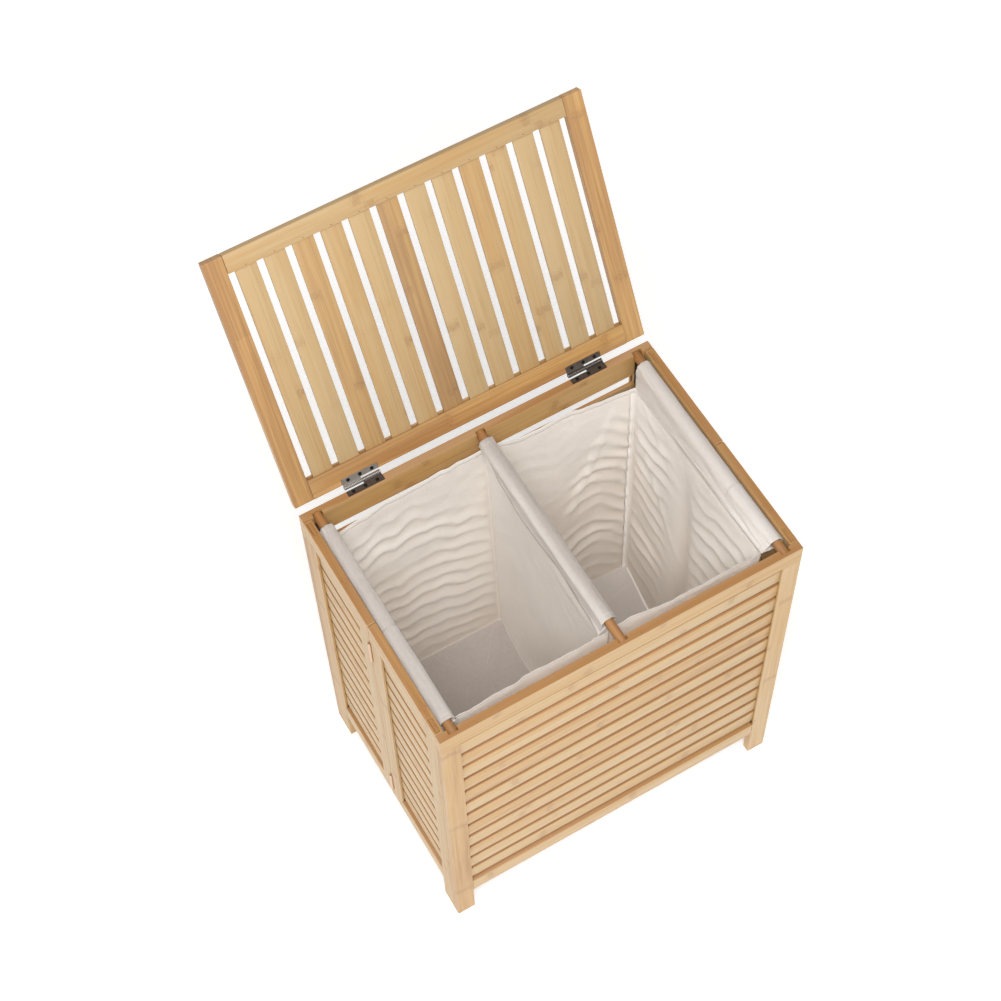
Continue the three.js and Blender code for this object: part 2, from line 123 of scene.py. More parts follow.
class HamperBoards(bpy.types.PropertyGroup):
    """Sizes of the boards, slats, rods and fasteners."""

    edge: length("Edge rounding", "Rounding on the long edges of every board", 0.9)
    slat_edge: length("Slat rounding", "Rounding on the edges of a slat", 0.8)
    slat_width: length("Slat width", "Width of each slat", 28.5)
    slat_thick: length("Slat thickness", "Thickness of each slat", 4.5)
    bottom_rail: length("Bottom rail", "Height of the bottom rails", 31.5)
    lid_front_rail: length("Lid front rail", "Width of the lid's front rail", 25.0)
    tongue: length("Tongue", "How far a slat goes into its groove", 5.0)
    rod_edge: length("Rod end rounding", "Rounding at the ends of a rod", 0.8)
    brad: length("Brad radius", "Radius of the brads in the lid's front rail", 0.45)


class HamperHinges(bpy.types.PropertyGroup):
    """Sizes of the hinges and their screws."""

    leaf_thick: length("Lid leaf thickness", "Thickness of a lid hinge's leaf", 1.2)
    leaf_corner: length("Lid leaf corner", "Rounding of a lid leaf's outer corners", 3.0)
    leaf_reach: length("Lid leaf reach", "From the pin to the leaf's plate", 5.0)
    ribs: bpy.props.IntProperty(
        name="Barrel ribs",
        description="Ribs on each half of a lid hinge's barrel",
        default=12,
        min=1,
        max=40,
    )
    screw: length("Screw radius", "Head radius of a lid hinge screw", 2.6)
    small_screw: length("Small screw radius", "Head radius of a folding hinge screw", 1.9)
    head: length("Screw head", "How far a screw head stands proud", 0.25)
    corner_knuckle: length("Corner knuckle radius", "Knuckle radius of a corner hinge", 2.4)
    seam_knuckle: length("Seam knuckle radius", "Knuckle radius of a seam hinge", 2.2)
    screw_spread: length("Screw spread", "From a folding hinge's middle to its screws", 16.5)


class HamperCloth(bpy.types.PropertyGroup):
    """Sizes of the liner."""

    thick: length("Cloth thickness", "Thickness of the liner's cloth", 0.7)
    hem: length("Hem", "Height of the folded hem", 9.0)
    ripple: length("Ripple", "Depth of the level ripples in the walls", 2.7)
    ripple_pitch: length("Ripple pitch", "Height from one ripple to the next", 33.0)
    seam: length("Seam band", "Width of the band beside a corner seam", 8.0)
    sleeve_slack: length("Sleeve slack", "Room between a rod and its sleeve", 1.1)
    grid: length("Cloth grid", "Spacing of the points on the cloth", 4.5)


class HamperColours(bpy.types.PropertyGroup):
    """Colours of the finishes, and of the painted shade on the slat edges and the liner."""

    pale: colour("Pale bamboo", "Lightest strips of bamboo", (0.545, 0.372, 0.172))
    honey: colour("Honey bamboo", "Middle shade of bamboo", (0.515, 0.294, 0.093))
    warm: colour("Warm bamboo", "Darkest strips of bamboo", (0.33, 0.156, 0.045))
    # Painted warm shade and glow for the slat edges that face the gaps
    groove: colour("Slat edge", "Edges of the slats, where light glows", (0.4, 0.175, 0.045))
    fibre: colour("Bamboo fibre", "Fibres and the bands at the cane's joints", (0.22, 0.095, 0.03))
    rod: colour("Rod wood", "Wood of the round rods", (0.37, 0.175, 0.06))
    cloth: colour("Liner cloth", "Thin off-white cloth", (0.92, 0.888, 0.848))
    # Painted warm shade and glow for the liner's walls
    warm_shade_cloth: colour("Hollow cloth", "Where wood glows through the cloth", (0.71, 0.64, 0.56))
    # Painted shade for the bin floors, hems and sleeves
    shaded_floor_cloth: colour("Bin floor cloth", "Cloth of the bin floors", (0.30, 0.255, 0.228))
    plating: colour("Dark plating", "Antique plating of the hinges", (0.072, 0.05, 0.038))
    patina: colour("Worn plating", "Lighter clouds in the plating", (0.10, 0.074, 0.06))
    nickel: colour("Bare nickel", "Bright metal at the knuckles and edges", (0.60, 0.57, 0.54))
    bronze: colour("Bare bronze", "Warm metal of the seam hinges", (0.72, 0.5, 0.36))


class HamperStage(bpy.types.PropertyGroup):
    """Camera, lights and floor."""

    azimuth: bearing("Camera azimuth", "Turn round the hamper", -28.17)
    elevation: bearing("Camera elevation", "Height over the horizon", 59.79)
    roll: bearing("Camera roll", "Turn about the line of sight", 2.33)
    distance: length("Camera distance", "From the camera to its target", 3069.9)
    target_x: length("Target across", "Camera target, from the hamper's middle", 54.2)
    target_y: length("Target back", "Camera target, from the box's middle", 227.3)
    target_z: length("Target height", "Camera target, from the floor", 294.3)
    lens: bpy.props.FloatProperty(
        name="Lens", description="Focal length for a 36 mm sensor", default=77.19, unit="CAMERA"
    )
    floor: colour("Floor", "Pale floor of the studio", (0.86, 0.86, 0.86))
    floor_glow: share("Floor glow", "Light from the studio's floor itself", 0.38, 2.0)
    sky: share("Sky", "Strength of the even studio light", 0.40, 5.0)
    key: share("Key light", "Strength of the large light behind the camera", 90.0, 900.0)
    front: share("Front light", "Strength of the low front light", 19.0, 900.0)
    left: share("Left light", "Strength of the low left light", 20.0, 900.0)


def settings():
    """The settings of the boards, the cloth, the colours and the stage."""
    scene = bpy.context.scene
    return scene.hamper_boards, scene.hamper_cloth, scene.hamper_colours, scene.hamper_stage


# ---- mesh helpers --------------------------------------------------------------------

# Places closer than this count as one
NEARLY = mm(0.01)
# Where a board's grain starts, and how far it moves on with its tone, so that no two are alike
GRAIN_START = np.array([0, 0.004, 0])
GRAIN_SHIFT = np.array([7.31, 3.17, 1.93])
# A face turned this far to the side belongs to the board's edge, which gets painted gap shade and
# glow
EDGE_FACING = 0.7


def deselect_all():
    """Nothing selected."""
    for obj in bpy.context.selected_objects:
        obj.select_set(False)


def only(obj):
    """Selects one object and makes it the active one."""
    deselect_all()
    obj.select_set(True)
    bpy.context.view_layer.objects.active = obj


def settle(obj):
    """Puts an object's place into its mesh."""
    only(obj)
    bpy.ops.object.transform_apply(location=True, rotation=True, scale=True)
    return obj


def finish_with(obj, kind, **values):
    """Adds a modifier and applies it."""
    only(obj)
    modifier = obj.modifiers.new(kind.title(), kind)
    for key, value in values.items():
        setattr(modifier, key, value)
    bpy.ops.object.modifier_apply(modifier=modifier.name)
    return obj


def board(name, low, high, edge, segments=2, corner=0.0):
    """A board between two corners, edges rounded. corner rounds its upright edges at -Y more."""
    low, high = Vector(low), Vector(high)
    deselect_all()
    bpy.ops.mesh.primitive_cube_add(size=1, location=(low + high) / 2, scale=high - low)
    obj = settle(bpy.context.object)
    obj.name = name
    if corner:
        for vertex in obj.data.vertices:
            vertex.select = vertex.co.y < (low.y + high.y) / 2
        for line in obj.data.edges:
            a, b = (obj.data.vertices[i] for i in line.vertices)
            line.select = a.select and b.select and abs(a.co.x - b.co.x) < NEARLY
        for polygon in obj.data.polygons:
            polygon.select = False
        bpy.ops.object.mode_set(mode="EDIT")
        bpy.ops.mesh.select_mode(type="EDGE")
        bpy.ops.mesh.bevel(offset=corner, segments=6, affect="EDGES")
        bpy.ops.object.mode_set(mode="OBJECT")
        sharp = {"limit_method": "ANGLE", "angle_limit": math.radians(60)}
        return finish_with(obj, "BEVEL", width=edge, segments=segments, **sharp)
    bpy.ops.object.mode_set(mode="EDIT")
    bpy.ops.mesh.select_all(action="SELECT")
    bpy.ops.mesh.bevel(offset=edge, segments=segments, affect="EDGES")
    bpy.ops.object.mode_set(mode="OBJECT")
    return obj


def cylinder(name, **shape):
    """A round bar, with its place in its mesh."""
    deselect_all()
    bpy.ops.mesh.primitive_cylinder_add(**shape)
    bar = settle(bpy.context.object)
    bar.name = name
    return bar


def copied(obj, name, move):
    """A copy with its own mesh, moved."""
    twin = bpy.data.objects.new(name, obj.data.copy())
    bpy.context.scene.collection.objects.link(twin)
    twin.data.transform(Matrix.Translation(move))
    return twin


def repeated(obj, count, step):
    """An object and its copies, each of them a step further on."""
    moves = ([part * i for part in step] for i in range(1, count))
    return [obj, *(copied(obj, f"{obj.name}_{i}", move) for i, move in enumerate(moves, start=1))]


def joined(objects, name):
    """Several objects as one."""
    deselect_all()
    for obj in objects:
        obj.select_set(True)
    bpy.context.view_layer.objects.active = objects[0]
    if len(objects) > 1:
        bpy.ops.object.join()
    made = bpy.context.object
    made.name = made.data.name = name
    return made


def smooth(obj, angle=35):
    """Smooth faces up to an angle between them."""
    only(obj)
    bpy.ops.object.shade_smooth_by_angle(angle=math.radians(angle))
    return obj


def dice(*key):
    """A share from 0 to 1 that is always the same for the same words and numbers."""
    total = 0.0
    for place, part in enumerate(key, start=1):
        if isinstance(part, str):
            part = sum(i * ord(letter) for i, letter in enumerate(part, start=1)) * 0.0137
        total += place * 12.9898 * (part + 0.317)
    return (math.sin(total) * 43758.5453) % 1.0


def mark_grain(obj, along, tone, wide=2, shaded_edges=True):
    """Gives a board its own grain: a place along, across and through it, its tone, and its edges,
    which get painted gap shade.
    """
    mesh = obj.data
    places = np.empty(len(mesh.vertices) * 3)
    mesh.vertices.foreach_get("co", places)
    places = places.reshape(-1, 3)
    through = 3 - along - wide
    order = [along, wide, through]
    start = GRAIN_START + tone * GRAIN_SHIFT
    grain = places[:, order] - places.min(0)[order] + start
    attribute = mesh.attributes.new("grain", "FLOAT_VECTOR", "POINT")
    attribute.data.foreach_set("vector", grain.astype(np.float32).ravel())
    tones = mesh.attributes.new("tone", "FLOAT", "POINT")
    tones.data.foreach_set("value", np.full(len(places), tone, np.float32))
    edges = mesh.attributes.new("edge", "FLOAT", "FACE")
    narrow = [float(shaded_edges and abs(p.normal[wide]) > EDGE_FACING) for p in mesh.polygons]
    edges.data.foreach_set("value", narrow)


# ---- shader groups -------------------------------------------------------------------


class Wiring:
    """Short ways to add and link nodes in one tree."""

    def __init__(self, tree):
        self.nodes = tree.nodes
        self.links = tree.links

    def feed(self, node, inputs):
        """Links or sets several inputs of a node."""
        for key, value in inputs.items():
            if isinstance(value, bpy.types.NodeSocket):
                self.links.new(value, node.inputs[key])
            else:
                node.inputs[key].default_value = value
        return node

    def add(self, kind, inputs=None, **values):
        """A node of a kind, with its values set and its inputs fed."""
        node = self.nodes.new(kind)
        for key, value in values.items():
            setattr(node, key, value)
        return self.feed(node, inputs or {})

    def math(self, operation, *values, clamp=False):
        """One sum, on numbers or sockets."""
        inputs = dict(enumerate(values))
        return self.add("ShaderNodeMath", inputs, operation=operation, use_clamp=clamp).outputs[0]

    def times(self, first, second):
        """Two values multiplied."""
        return self.math("MULTIPLY", first, second)

    def plus(self, first, second):
        """Two values added."""
        return self.math("ADD", first, second)

    def centred(self, value):
        """A value from 0 to 1, moved down by a half."""
        return self.math("SUBTRACT", value, 0.5)

    def stretched(self, place, scales):
        """A place with each of its parts scaled."""
        node = self.add("ShaderNodeVectorMath", {0: place, 1: scales}, operation="MULTIPLY")
        return node.outputs[0]

    def parts(self, place):
        """The X, Y and Z of a place."""
        return self.add("ShaderNodeSeparateXYZ", {"Vector": place}).outputs

    def here(self, kind="Object"):
        """The place on the object itself, or another of its coordinates."""
        return self.add("ShaderNodeTexCoord").outputs[kind]

    def attribute(self, name, output="Fac"):
        """A value that the mesh carries."""
        return self.add("ShaderNodeAttribute", attribute_name=name).outputs[output]

    def bend(self):
        """How far the surface curves, outwards above a half."""
        return self.add("ShaderNodeNewGeometry").outputs["Pointiness"]

    def ramp(self, value, low, high, to_low=0.0, to_high=1.0, kind="SMOOTHSTEP"):
        """A value spread from one range to another."""
        inputs = {"From Min": low, "From Max": high, "To Min": to_low, "To Max": to_high}
        node = self.add("ShaderNodeMapRange", {"Value": value, **inputs}, interpolation_type=kind)
        return node.outputs["Result"]

    def mix(self, share_of, first, second):
        """Two colours mixed."""
        inputs = {0: share_of, 6: first, 7: second}
        return self.add("ShaderNodeMix", inputs, data_type="RGBA").outputs[2]

    def noise(self, place, scale, detail=2.0, rough=0.5):
        """Smooth noise from 0 to 1. A scale with three parts stretches it."""
        if isinstance(scale, tuple):
            place, scale = self.stretched(place, scale), 1.0
        inputs = {"Vector": place, "Scale": scale, "Detail": detail, "Roughness": rough}
        return self.add("ShaderNodeTexNoise", inputs).outputs[0]

    def draw(self, number):
        """A random value from 0 to 1 that belongs to a number."""
        node = self.add("ShaderNodeTexWhiteNoise", {"W": number}, noise_dimensions="1D")
        return node.outputs["Value"]

    def bump(self, height, strength, distance):
        """A normal that follows a height."""
        inputs = {"Height": height, "Strength": strength, "Distance": distance}
        return self.add("ShaderNodeBump", inputs).outputs["Normal"]


def made_once(collection):
    """For a function whose first value is a name: what already has that name isn't made again."""

    def wrap(maker):
        @functools.wraps(maker)
        def find_or_make(name, *values, **named):
            return getattr(bpy.data, collection).get(name) or maker(name, *values, **named)

        return find_or_make

    return wrap


def group(name, inputs, outputs):
    """An empty shader group with named sockets, and the wiring inside it."""
    tree = bpy.data.node_groups.new(name, "ShaderNodeTree")
    for label, kind, default in inputs:
        socket = tree.interface.new_socket(label, in_out="INPUT", socket_type=f"NodeSocket{kind}")
        if default is not None:
            socket.default_value = default
    for label, kind in outputs:
        tree.interface.new_socket(label, in_out="OUTPUT", socket_type=f"NodeSocket{kind}")
    wire = Wiring(tree)
    return tree, wire, wire.add("NodeGroupInput").outputs, wire.add("NodeGroupOutput")


# Noise in the bamboo: how often it changes in a metre, along, across and through a board
FIBRES = (9.0, 780.0, 600.0)
GRAIN = (3.5, 210.0, 160.0)
STREAKS = (13.0, 470.0, 470.0)
CLOUDS = (4.5, 30.0, 30.0)
JOINT_WANDER = (6.0, 130.0, 60.0)
JOINT_MARKS = (420.0, 230.0, 230.0)
# Factors that keep the draws for strips, layers and stretches apart
LAYER_FACTOR, TONE_FACTOR, JOINT_FACTOR, STRETCH_FACTOR = 7.0, 91.7, 5.37, 17.3


@made_once("node_groups")
def bamboo_grain(name):
    """Strips of cane with soft fibres, a shade for each strip and a band at each of its joints."""
    tree, wire, given, result = group(
        name,
        [
            ("Place", "Vector", None),
            ("Tone", "Float", 0.5),
            ("Pale", "Color", (0.8, 0.6, 0.35, 1)),
            ("Honey", "Color", (0.66, 0.4, 0.2, 1)),
            ("Warm", "Color", (0.5, 0.25, 0.08, 1)),
            ("Fibre", "Color", (0.3, 0.12, 0.035, 1)),
            ("Strip Width", "Float", mm(20.5)),
            ("Joint Pitch", "Float", mm(235)),
        ],
        [("Color", "Color"), ("Height", "Float"), ("Roughness", "Float")],
    )
    place = given["Place"]
    parts = wire.parts(place)
    # Each strip has a number of its own, from its place across the board
    strip, layer = (
        wire.math("FLOOR", wire.math("DIVIDE", parts[axis], given["Strip Width"])) for axis in "YZ"
    )
    strip = wire.math("MULTIPLY_ADD", layer, LAYER_FACTOR, strip)
    strip_tone = wire.draw(wire.plus(strip, wire.times(given["Tone"], TONE_FACTOR)))
    fine = wire.noise(place, FIBRES, 3.0, 0.6)
    medium = wire.noise(place, GRAIN, 3.0, 0.55)
    streak = wire.noise(place, STREAKS)
    broad = wire.noise(place, CLOUDS)
    # Where along the strip its cane joints lie, each stretch between two joints a little different
    along = wire.math("DIVIDE", parts["X"], given["Joint Pitch"])
    along = wire.plus(along, wire.times(strip_tone, JOINT_FACTOR))
    along = wire.plus(along, wire.times(wire.centred(wire.noise(place, JOINT_WANDER)), 0.03))
    stretch = wire.draw(wire.math("MULTIPLY_ADD", strip, STRETCH_FACTOR, wire.math("FLOOR", along)))
    off_middle = wire.math("ABSOLUTE", wire.centred(wire.math("FRACT", along)))
    off_joint = wire.math("SUBTRACT", 0.5, off_middle)
    shown = wire.ramp(strip_tone, 0.15, 0.3, 0.2, 1.0)
    knot = wire.times(wire.ramp(off_joint, 0.026, 0.011), shown)
    halo = wire.times(wire.ramp(off_joint, 0.06, 0.006), shown)
    marks = wire.times(wire.ramp(wire.noise(place, JOINT_MARKS, 3.0, 0.65), 0.5, 0.64), halo)
    # The tone: the board's own, then what strips, stretches and the noises add or take away
    tone = wire.math("MULTIPLY_ADD", strip_tone, 0.14, wire.math("SUBTRACT", given["Tone"], 0.07))
    tone = wire.plus(tone, wire.times(wire.centred(stretch), 0.16))
    for value, low, high, least, most in (
        (broad, 0.3, 0.7, -0.09, 0.09),
        (medium, 0.3, 0.7, -0.15, 0.15),
        (streak, 0.35, 0.7, -0.04, 0.12),
    ):
        tone = wire.plus(tone, wire.ramp(value, low, high, least, most))
    base = wire.mix(wire.ramp(tone, 0.0, 0.5, kind="LINEAR"), given["Pale"], given["Honey"])
    base = wire.mix(wire.ramp(tone, 0.5, 1.0, kind="LINEAR"), base, given["Warm"])
    fleck = wire.mix(wire.ramp(tone, 0.25, 0.8), given["Warm"], given["Fibre"])
    for mask, strength, shade in (
        (wire.ramp(fine, 0.48, 0.75), 0.32, given["Fibre"]),
        (halo, 0.1, given["Warm"]),
        (knot, 0.3, given["Warm"]),
        (marks, 0.55, fleck),
    ):
        base = wire.mix(wire.times(mask, strength), base, shade)
    height = wire.plus(wire.times(fine, 0.6), wire.times(medium, 0.4))
    height = wire.plus(height, wire.times(knot, 0.2))
    rough = wire.ramp(medium, 0.2, 0.8, 0.42, 0.58)
    wire.feed(result, {"Color": base, "Height": height, "Roughness": rough})
    return tree


@made_once("node_groups")
def pale_edges_and_joint_shade(name):
    """Paler outward edges, and painted shade where boards meet, from how a surface curves."""
    tree, wire, given, result = group(
        name,
        [("Color", "Color", (0.5, 0.5, 0.5, 1)), ("Curve", "Float", 0.5), ("Amount", "Float", 0.5)],
        [("Color", "Color")],
    )
    colour_now = given["Color"]
    # Outward curves are drawn paler; inward ones, where boards meet, get painted shade
    for low, high, strength, shade in (
        (0.52, 0.60, 0.22, (0.95, 0.82, 0.6, 1)),
        (0.47, 0.40, 0.5, (0.16, 0.07, 0.02, 1)),
    ):
        mask = wire.times(wire.ramp(given["Curve"], low, high), given["Amount"])
        colour_now = wire.mix(wire.times(mask, strength), colour_now, shade)
    wire.feed(result, {"Color": colour_now})
    return tree


@made_once("node_groups")
def plain_weave(name):
    """Plain weave of fine threads on a UV map in metres."""
    tree, wire, given, result = group(
        name,
        [("Place", "Vector", None), ("Threads per Metre", "Float", 1700.0)],
        [("Height", "Float"), ("Mask", "Float")],
    )
    scaled = wire.add(
        "ShaderNodeVectorMath",
        {0: given["Place"], "Scale": given["Threads per Metre"]},
        operation="SCALE",
    ).outputs[0]
    parts = wire.parts(scaled)
    uneven = wire.noise(given["Place"], 260.0, 2.0, 0.6)
    warp, weft = (wire.math("SINE", wire.times(parts[axis], math.pi)) for axis in "XY")
    height = wire.plus(wire.times(wire.times(warp, weft), 0.5), uneven)
    wire.feed(result, {"Height": height, "Mask": wire.ramp(uneven, 0.3, 0.7)})
    return tree


# ---- materials -----------------------------------------------------------------------


def rgba(value, factor=1.0):
    """A colour setting as a shader colour, darker or lighter by a factor."""
    return (*(part * factor for part in value), 1.0)


def new_material(name):
    """A material with one Principled shader, and the wiring inside it."""
    material = bpy.data.materials.new(name)
    material.use_nodes = True
    return material, Wiring(material.node_tree), material.node_tree.nodes["Principled BSDF"]


@made_once("materials")
def bamboo(name, turn=(0, 0, 0), tone=None, shift=(0, 0, 0), top_tone_and_shade=0.0, paling_and_shade=0.5, shade=1.0):
    """Lacquered bamboo. turn lays the grain along X; without a tone, each board brings its own.
    shade darkens all its colours, as painted shade.
    """
    _, _, colours, _ = settings()
    material, wire, shader = new_material(name)
    if tone is None:
        place = wire.attribute("grain", "Vector")
        # Edge faces of slats are drawn warmer and darker: painted shade in the gaps
        edge = wire.attribute("edge")
        shown_tone = wire.math("MULTIPLY_ADD", edge, 0.75, wire.attribute("tone"))
    else:
        place = wire.add(
            "ShaderNodeMapping",
            {"Vector": wire.here(), "Rotation": turn, "Location": shift},
            vector_type="POINT",
        ).outputs[0]
        # Up-facing faces get a warmer, darker tone: partly the boards' own, partly painted shade
        up = wire.parts(wire.here("Normal"))["Z"]
        shown_tone = wire.plus(wire.ramp(up, 0.6, 0.95, 0.0, top_tone_and_shade), tone)
    inputs = {"Place": place, "Tone": shown_tone}
    grain = wire.add("ShaderNodeGroup", inputs, node_tree=bamboo_grain("Bamboo Grain"))
    for socket in ("pale", "honey", "warm", "fibre"):
        grain.inputs[socket.title()].default_value = rgba(getattr(colours, socket), shade)
    base = grain.outputs["Color"]
    # Painted warm shade and glow on the slats' edge faces
    if tone is None:
        base = wire.mix(wire.times(edge, 0.7), base, rgba(colours.groove))
    inputs = {"Color": base, "Amount": paling_and_shade, "Curve": wire.bend()}
    handled = wire.add("ShaderNodeGroup", inputs, node_tree=pale_edges_and_joint_shade("Handling"))
    wire.feed(shader, {
        "Base Color": handled.outputs["Color"],
        "Roughness": grain.outputs["Roughness"],
        "Normal": wire.bump(grain.outputs["Height"], 0.2, mm(0.4)),
        "Coat Weight": 0.16,
        "Coat Roughness": 0.34,
    })
    return material


@made_once("materials")
def rod_wood(name):
    """Darker turned wood for the round rods, with its grain along Y."""
    _, _, colours, _ = settings()
    material, wire, shader = new_material(name)
    fine = wire.noise(wire.here(), (1400.0, 14.0, 1400.0), 3.0, 0.6)
    broad = wire.noise(wire.here(), (160.0, 4.0, 160.0))
    dark = rgba(colours.rod, 0.45)
    base = wire.mix(wire.ramp(broad, 0.3, 0.7, 0.0, 0.45), rgba(colours.rod), dark)
    wire.feed(shader, {
        "Base Color": wire.mix(wire.times(wire.ramp(fine, 0.5, 0.8), 0.5), base, dark),
        "Normal": wire.bump(fine, 0.25, mm(0.3)),
        "Roughness": wire.ramp(fine, 0.2, 0.8, 0.4, 0.58),
    })
    return material


@made_once("materials")
def plated_metal(name, bright, bare="nickel"):
    """Antique plating, rubbed bright on raised edges. bright is how much bare metal shows,
    and on the lid hinges also a painted reflection.
    """
    _, _, colours, _ = settings()
    material, wire, shader = new_material(name)
    cloudy = wire.noise(wire.here(), 420.0, 4.0, 0.6)
    brushed = wire.noise(wire.here(), (90.0, 2600.0, 2600.0))
    rubbed = wire.plus(
        wire.ramp(wire.bend(), 0.53, 0.62, 0.0, 0.14), wire.ramp(cloudy, 0.55, 0.85, 0.0, 0.04)
    )
    rubbed = wire.math("ADD", rubbed, bright, clamp=True)
    patina = wire.mix(wire.ramp(cloudy, 0.35, 0.65), rgba(colours.plating), rgba(colours.patina))
    base = wire.mix(rubbed, patina, rgba(getattr(colours, bare)))
    # Painted shade: the grooves between a barrel's ribs are drawn nearly black
    groove_shade = wire.times(wire.attribute("groove"), 0.9)
    wire.feed(shader, {
        "Base Color": wire.mix(groove_shade, base, (0.008, 0.007, 0.006, 1)),
        "Metallic": 1.0,
        "Roughness": wire.ramp(brushed, 0.2, 0.8, 0.30, 0.5),
        "Normal": wire.bump(cloudy, 0.15, mm(0.2)),
    })
    return material


@made_once("materials")
def blackened_steel(name):
    """Blackened screws, with a little grey where the driver has rubbed them."""
    material, wire, shader = new_material(name)
    cloudy = wire.noise(wire.here(), 900.0, 3.0, 0.6)
    rubbed = wire.ramp(cloudy, 0.5, 0.8)
    wire.feed(shader, {
        "Base Color": wire.mix(rubbed, (0.012, 0.011, 0.01, 1), (0.05, 0.047, 0.043, 1)),
        "Metallic": 0.6,
        "Roughness": wire.ramp(cloudy, 0.3, 0.7, 0.38, 0.55),
    })
    return material


STITCH_PITCH = mm(3.2)
# The floors have sharp creases, which fade out between these heights
CREASES_END, CREASES_FULL = mm(300), mm(250)


@made_once("materials")
def liner_cloth(name):
    """Thin off-white cloth in a plain weave, with stitches below the hem. Painted shade darkens the
    bin floors and greys the hems and sleeves, and painted warm shade tints the walls.
    """
    _, _, colours, _ = settings()
    material, wire, shader = new_material(name)
    place = wire.add("ShaderNodeUVMap", uv_map="cloth").outputs["UV"]
    weave = wire.add("ShaderNodeGroup", {"Place": place}, node_tree=plain_weave("Plain Weave"))
    floor = wire.attribute("floor")
    dash = wire.math("FRACT", wire.math("DIVIDE", wire.parts(place)["X"], STITCH_PITCH))
    dash = wire.ramp(wire.math("ABSOLUTE", wire.centred(dash)), 0.36, 0.30)
    stitches = wire.times(dash, wire.ramp(wire.attribute("stitch"), 0.35, 0.7))
    cloudy = wire.ramp(wire.noise(place, 14.0, 3.0), 0.3, 0.7)
    # The floors are of a coarser cloth, with threads along the box and a few sharp creases. Their
    # darker colour is painted shade, and the creases are drawn lighter, a painted highlight
    spot = wire.here()
    threads = wire.noise(spot, (900.0, 130.0, 130.0), 3.0, 0.7)
    folds = wire.add(
        "ShaderNodeTexVoronoi",
        {"Vector": wire.stretched(spot, (11.0, 7.0, 2.0)), "Scale": 1.0},
        feature="DISTANCE_TO_EDGE",
    ).outputs["Distance"]
    kept = wire.ramp(wire.noise(spot, 19.0, 1.0), 0.46, 0.6)
    low_down = wire.ramp(wire.parts(spot)["Z"], CREASES_END, CREASES_FULL)
    creased = wire.times(wire.ramp(folds, 0.014, 0.0), wire.times(kept, low_down))
    shaded_ground = wire.mix(
        wire.ramp(threads, 0.4, 0.68), rgba(colours.shaded_floor_cloth), rgba(colours.shaded_floor_cloth, 0.8)
    )
    # Painted highlight: the creases are drawn lighter
    shaded_ground = wire.mix(wire.times(creased, 0.22), shaded_ground, rgba(colours.shaded_floor_cloth, 1.5))
    base = wire.mix(cloudy, rgba(colours.cloth), rgba(colours.cloth, 0.95))
    # Marks with painted shade: warm for the walls, floor for the floors, hems and sleeves
    for mask, shade in (
        (wire.times(weave.outputs["Mask"], 0.08), (0.6, 0.55, 0.5, 1)),
        (wire.attribute("warm"), rgba(colours.warm_shade_cloth)),
        (floor, shaded_ground),
        (wire.times(wire.attribute("seam"), 0.6), (0.96, 0.945, 0.93, 1)),
        (wire.times(stitches, 0.3), (0.62, 0.57, 0.52, 1)),
    ):
        base = wire.mix(mask, base, shade)
    height = wire.math("SUBTRACT", weave.outputs["Height"], wire.times(stitches, 1.6))
    height = wire.plus(height, wire.times(wire.noise(spot, 95.0), 2.2))
    height = wire.plus(height, wire.times(wire.times(creased, floor), 3.0))
    wire.feed(shader, {
        "Base Color": base,
        "Normal": wire.bump(height, 0.3, mm(0.35)),
        "Roughness": 0.92,
        "Sheen Weight": 0.2,
        "Sheen Roughness": 0.5,
    })
    return material


def dress(obj, material):
    """One material on the whole piece."""
    obj.data.materials.clear()
    obj.data.materials.append(material)
    return obj


# ---- wooden pieces -------------------------------------------------------------------

# Turns that lay the grain of a carried-over board along X, by the axis that the board runs along
GRAIN_TURNS = ((0, 0, 0), (0, 0, -math.pi / 2), (0, math.pi / 2, 0))
# How far a bottom rail and the lid's front rail end short of the boards beside them
RAIL_GAP = mm(0.3)
# From the back edge of the lid's front rail to its brads
BRAD_INSET = mm(2.6)
FRONT_SLATS, BACK_SLATS, SIDE_SLATS, LID_SLATS = 12, 11, 12, 12
# How dark some boards are: 0 is pale and 1 is the warmest
FRONT_LEG_TONES = {"left": 0.56, "right": 0.26}
LID_TONES = (0.2, 0.04, 0.46, 0.34, 0.2, 0.7, 0.0, 0.06, 0.38, 0.12, 0.0, 0.06)
LID_STILE_TONES = {"left": 0.82, "right": 0.66}
LID_RAIL_TONES = {"rear": 0.8, "front": 0.24}
# Painted shade: the lid's slats and front rail as a whole are drawn darker, against the other
# boards
LID_SHADE = 0.81


def soften(obj, width, segments, angle, merge):
    """Rounds the edges of a carried-over piece."""
    obj.modifiers.new("Weld", "WELD").merge_threshold = merge
    bevel = obj.modifiers.new("Bevel", "BEVEL")
    bevel.width, bevel.segments = width, segments
    bevel.limit_method, bevel.angle_limit = "ANGLE", math.radians(angle)
    return obj


def dress_cad_board(node, along, tone, top_tone_and_shade=0.0, tilt=0.0, paling_and_shade=0.5):
    """Rounds a carried-over board's edges and gives it bamboo with the grain along an axis."""
    boards, _, _, _ = settings()
    obj = soften(NODES[node], width=boards.edge, segments=2, angle=40, merge=NEARLY)
    turn = (GRAIN_TURNS[along][0] + tilt, *GRAIN_TURNS[along][1:])
    shift = (dice(node) * 3, dice(node, 1) * 0.4, dice(node, 2) * 0.4)
    dress(obj, bamboo(f"bamboo_{node}", turn, tone, shift, top_tone_and_shade, paling_and_shade))


def pick_tone(low, high, *key):
    """A board's tone: most are near the low end, and a few are darker."""
    return low + (high - low) * dice(*key) ** 2


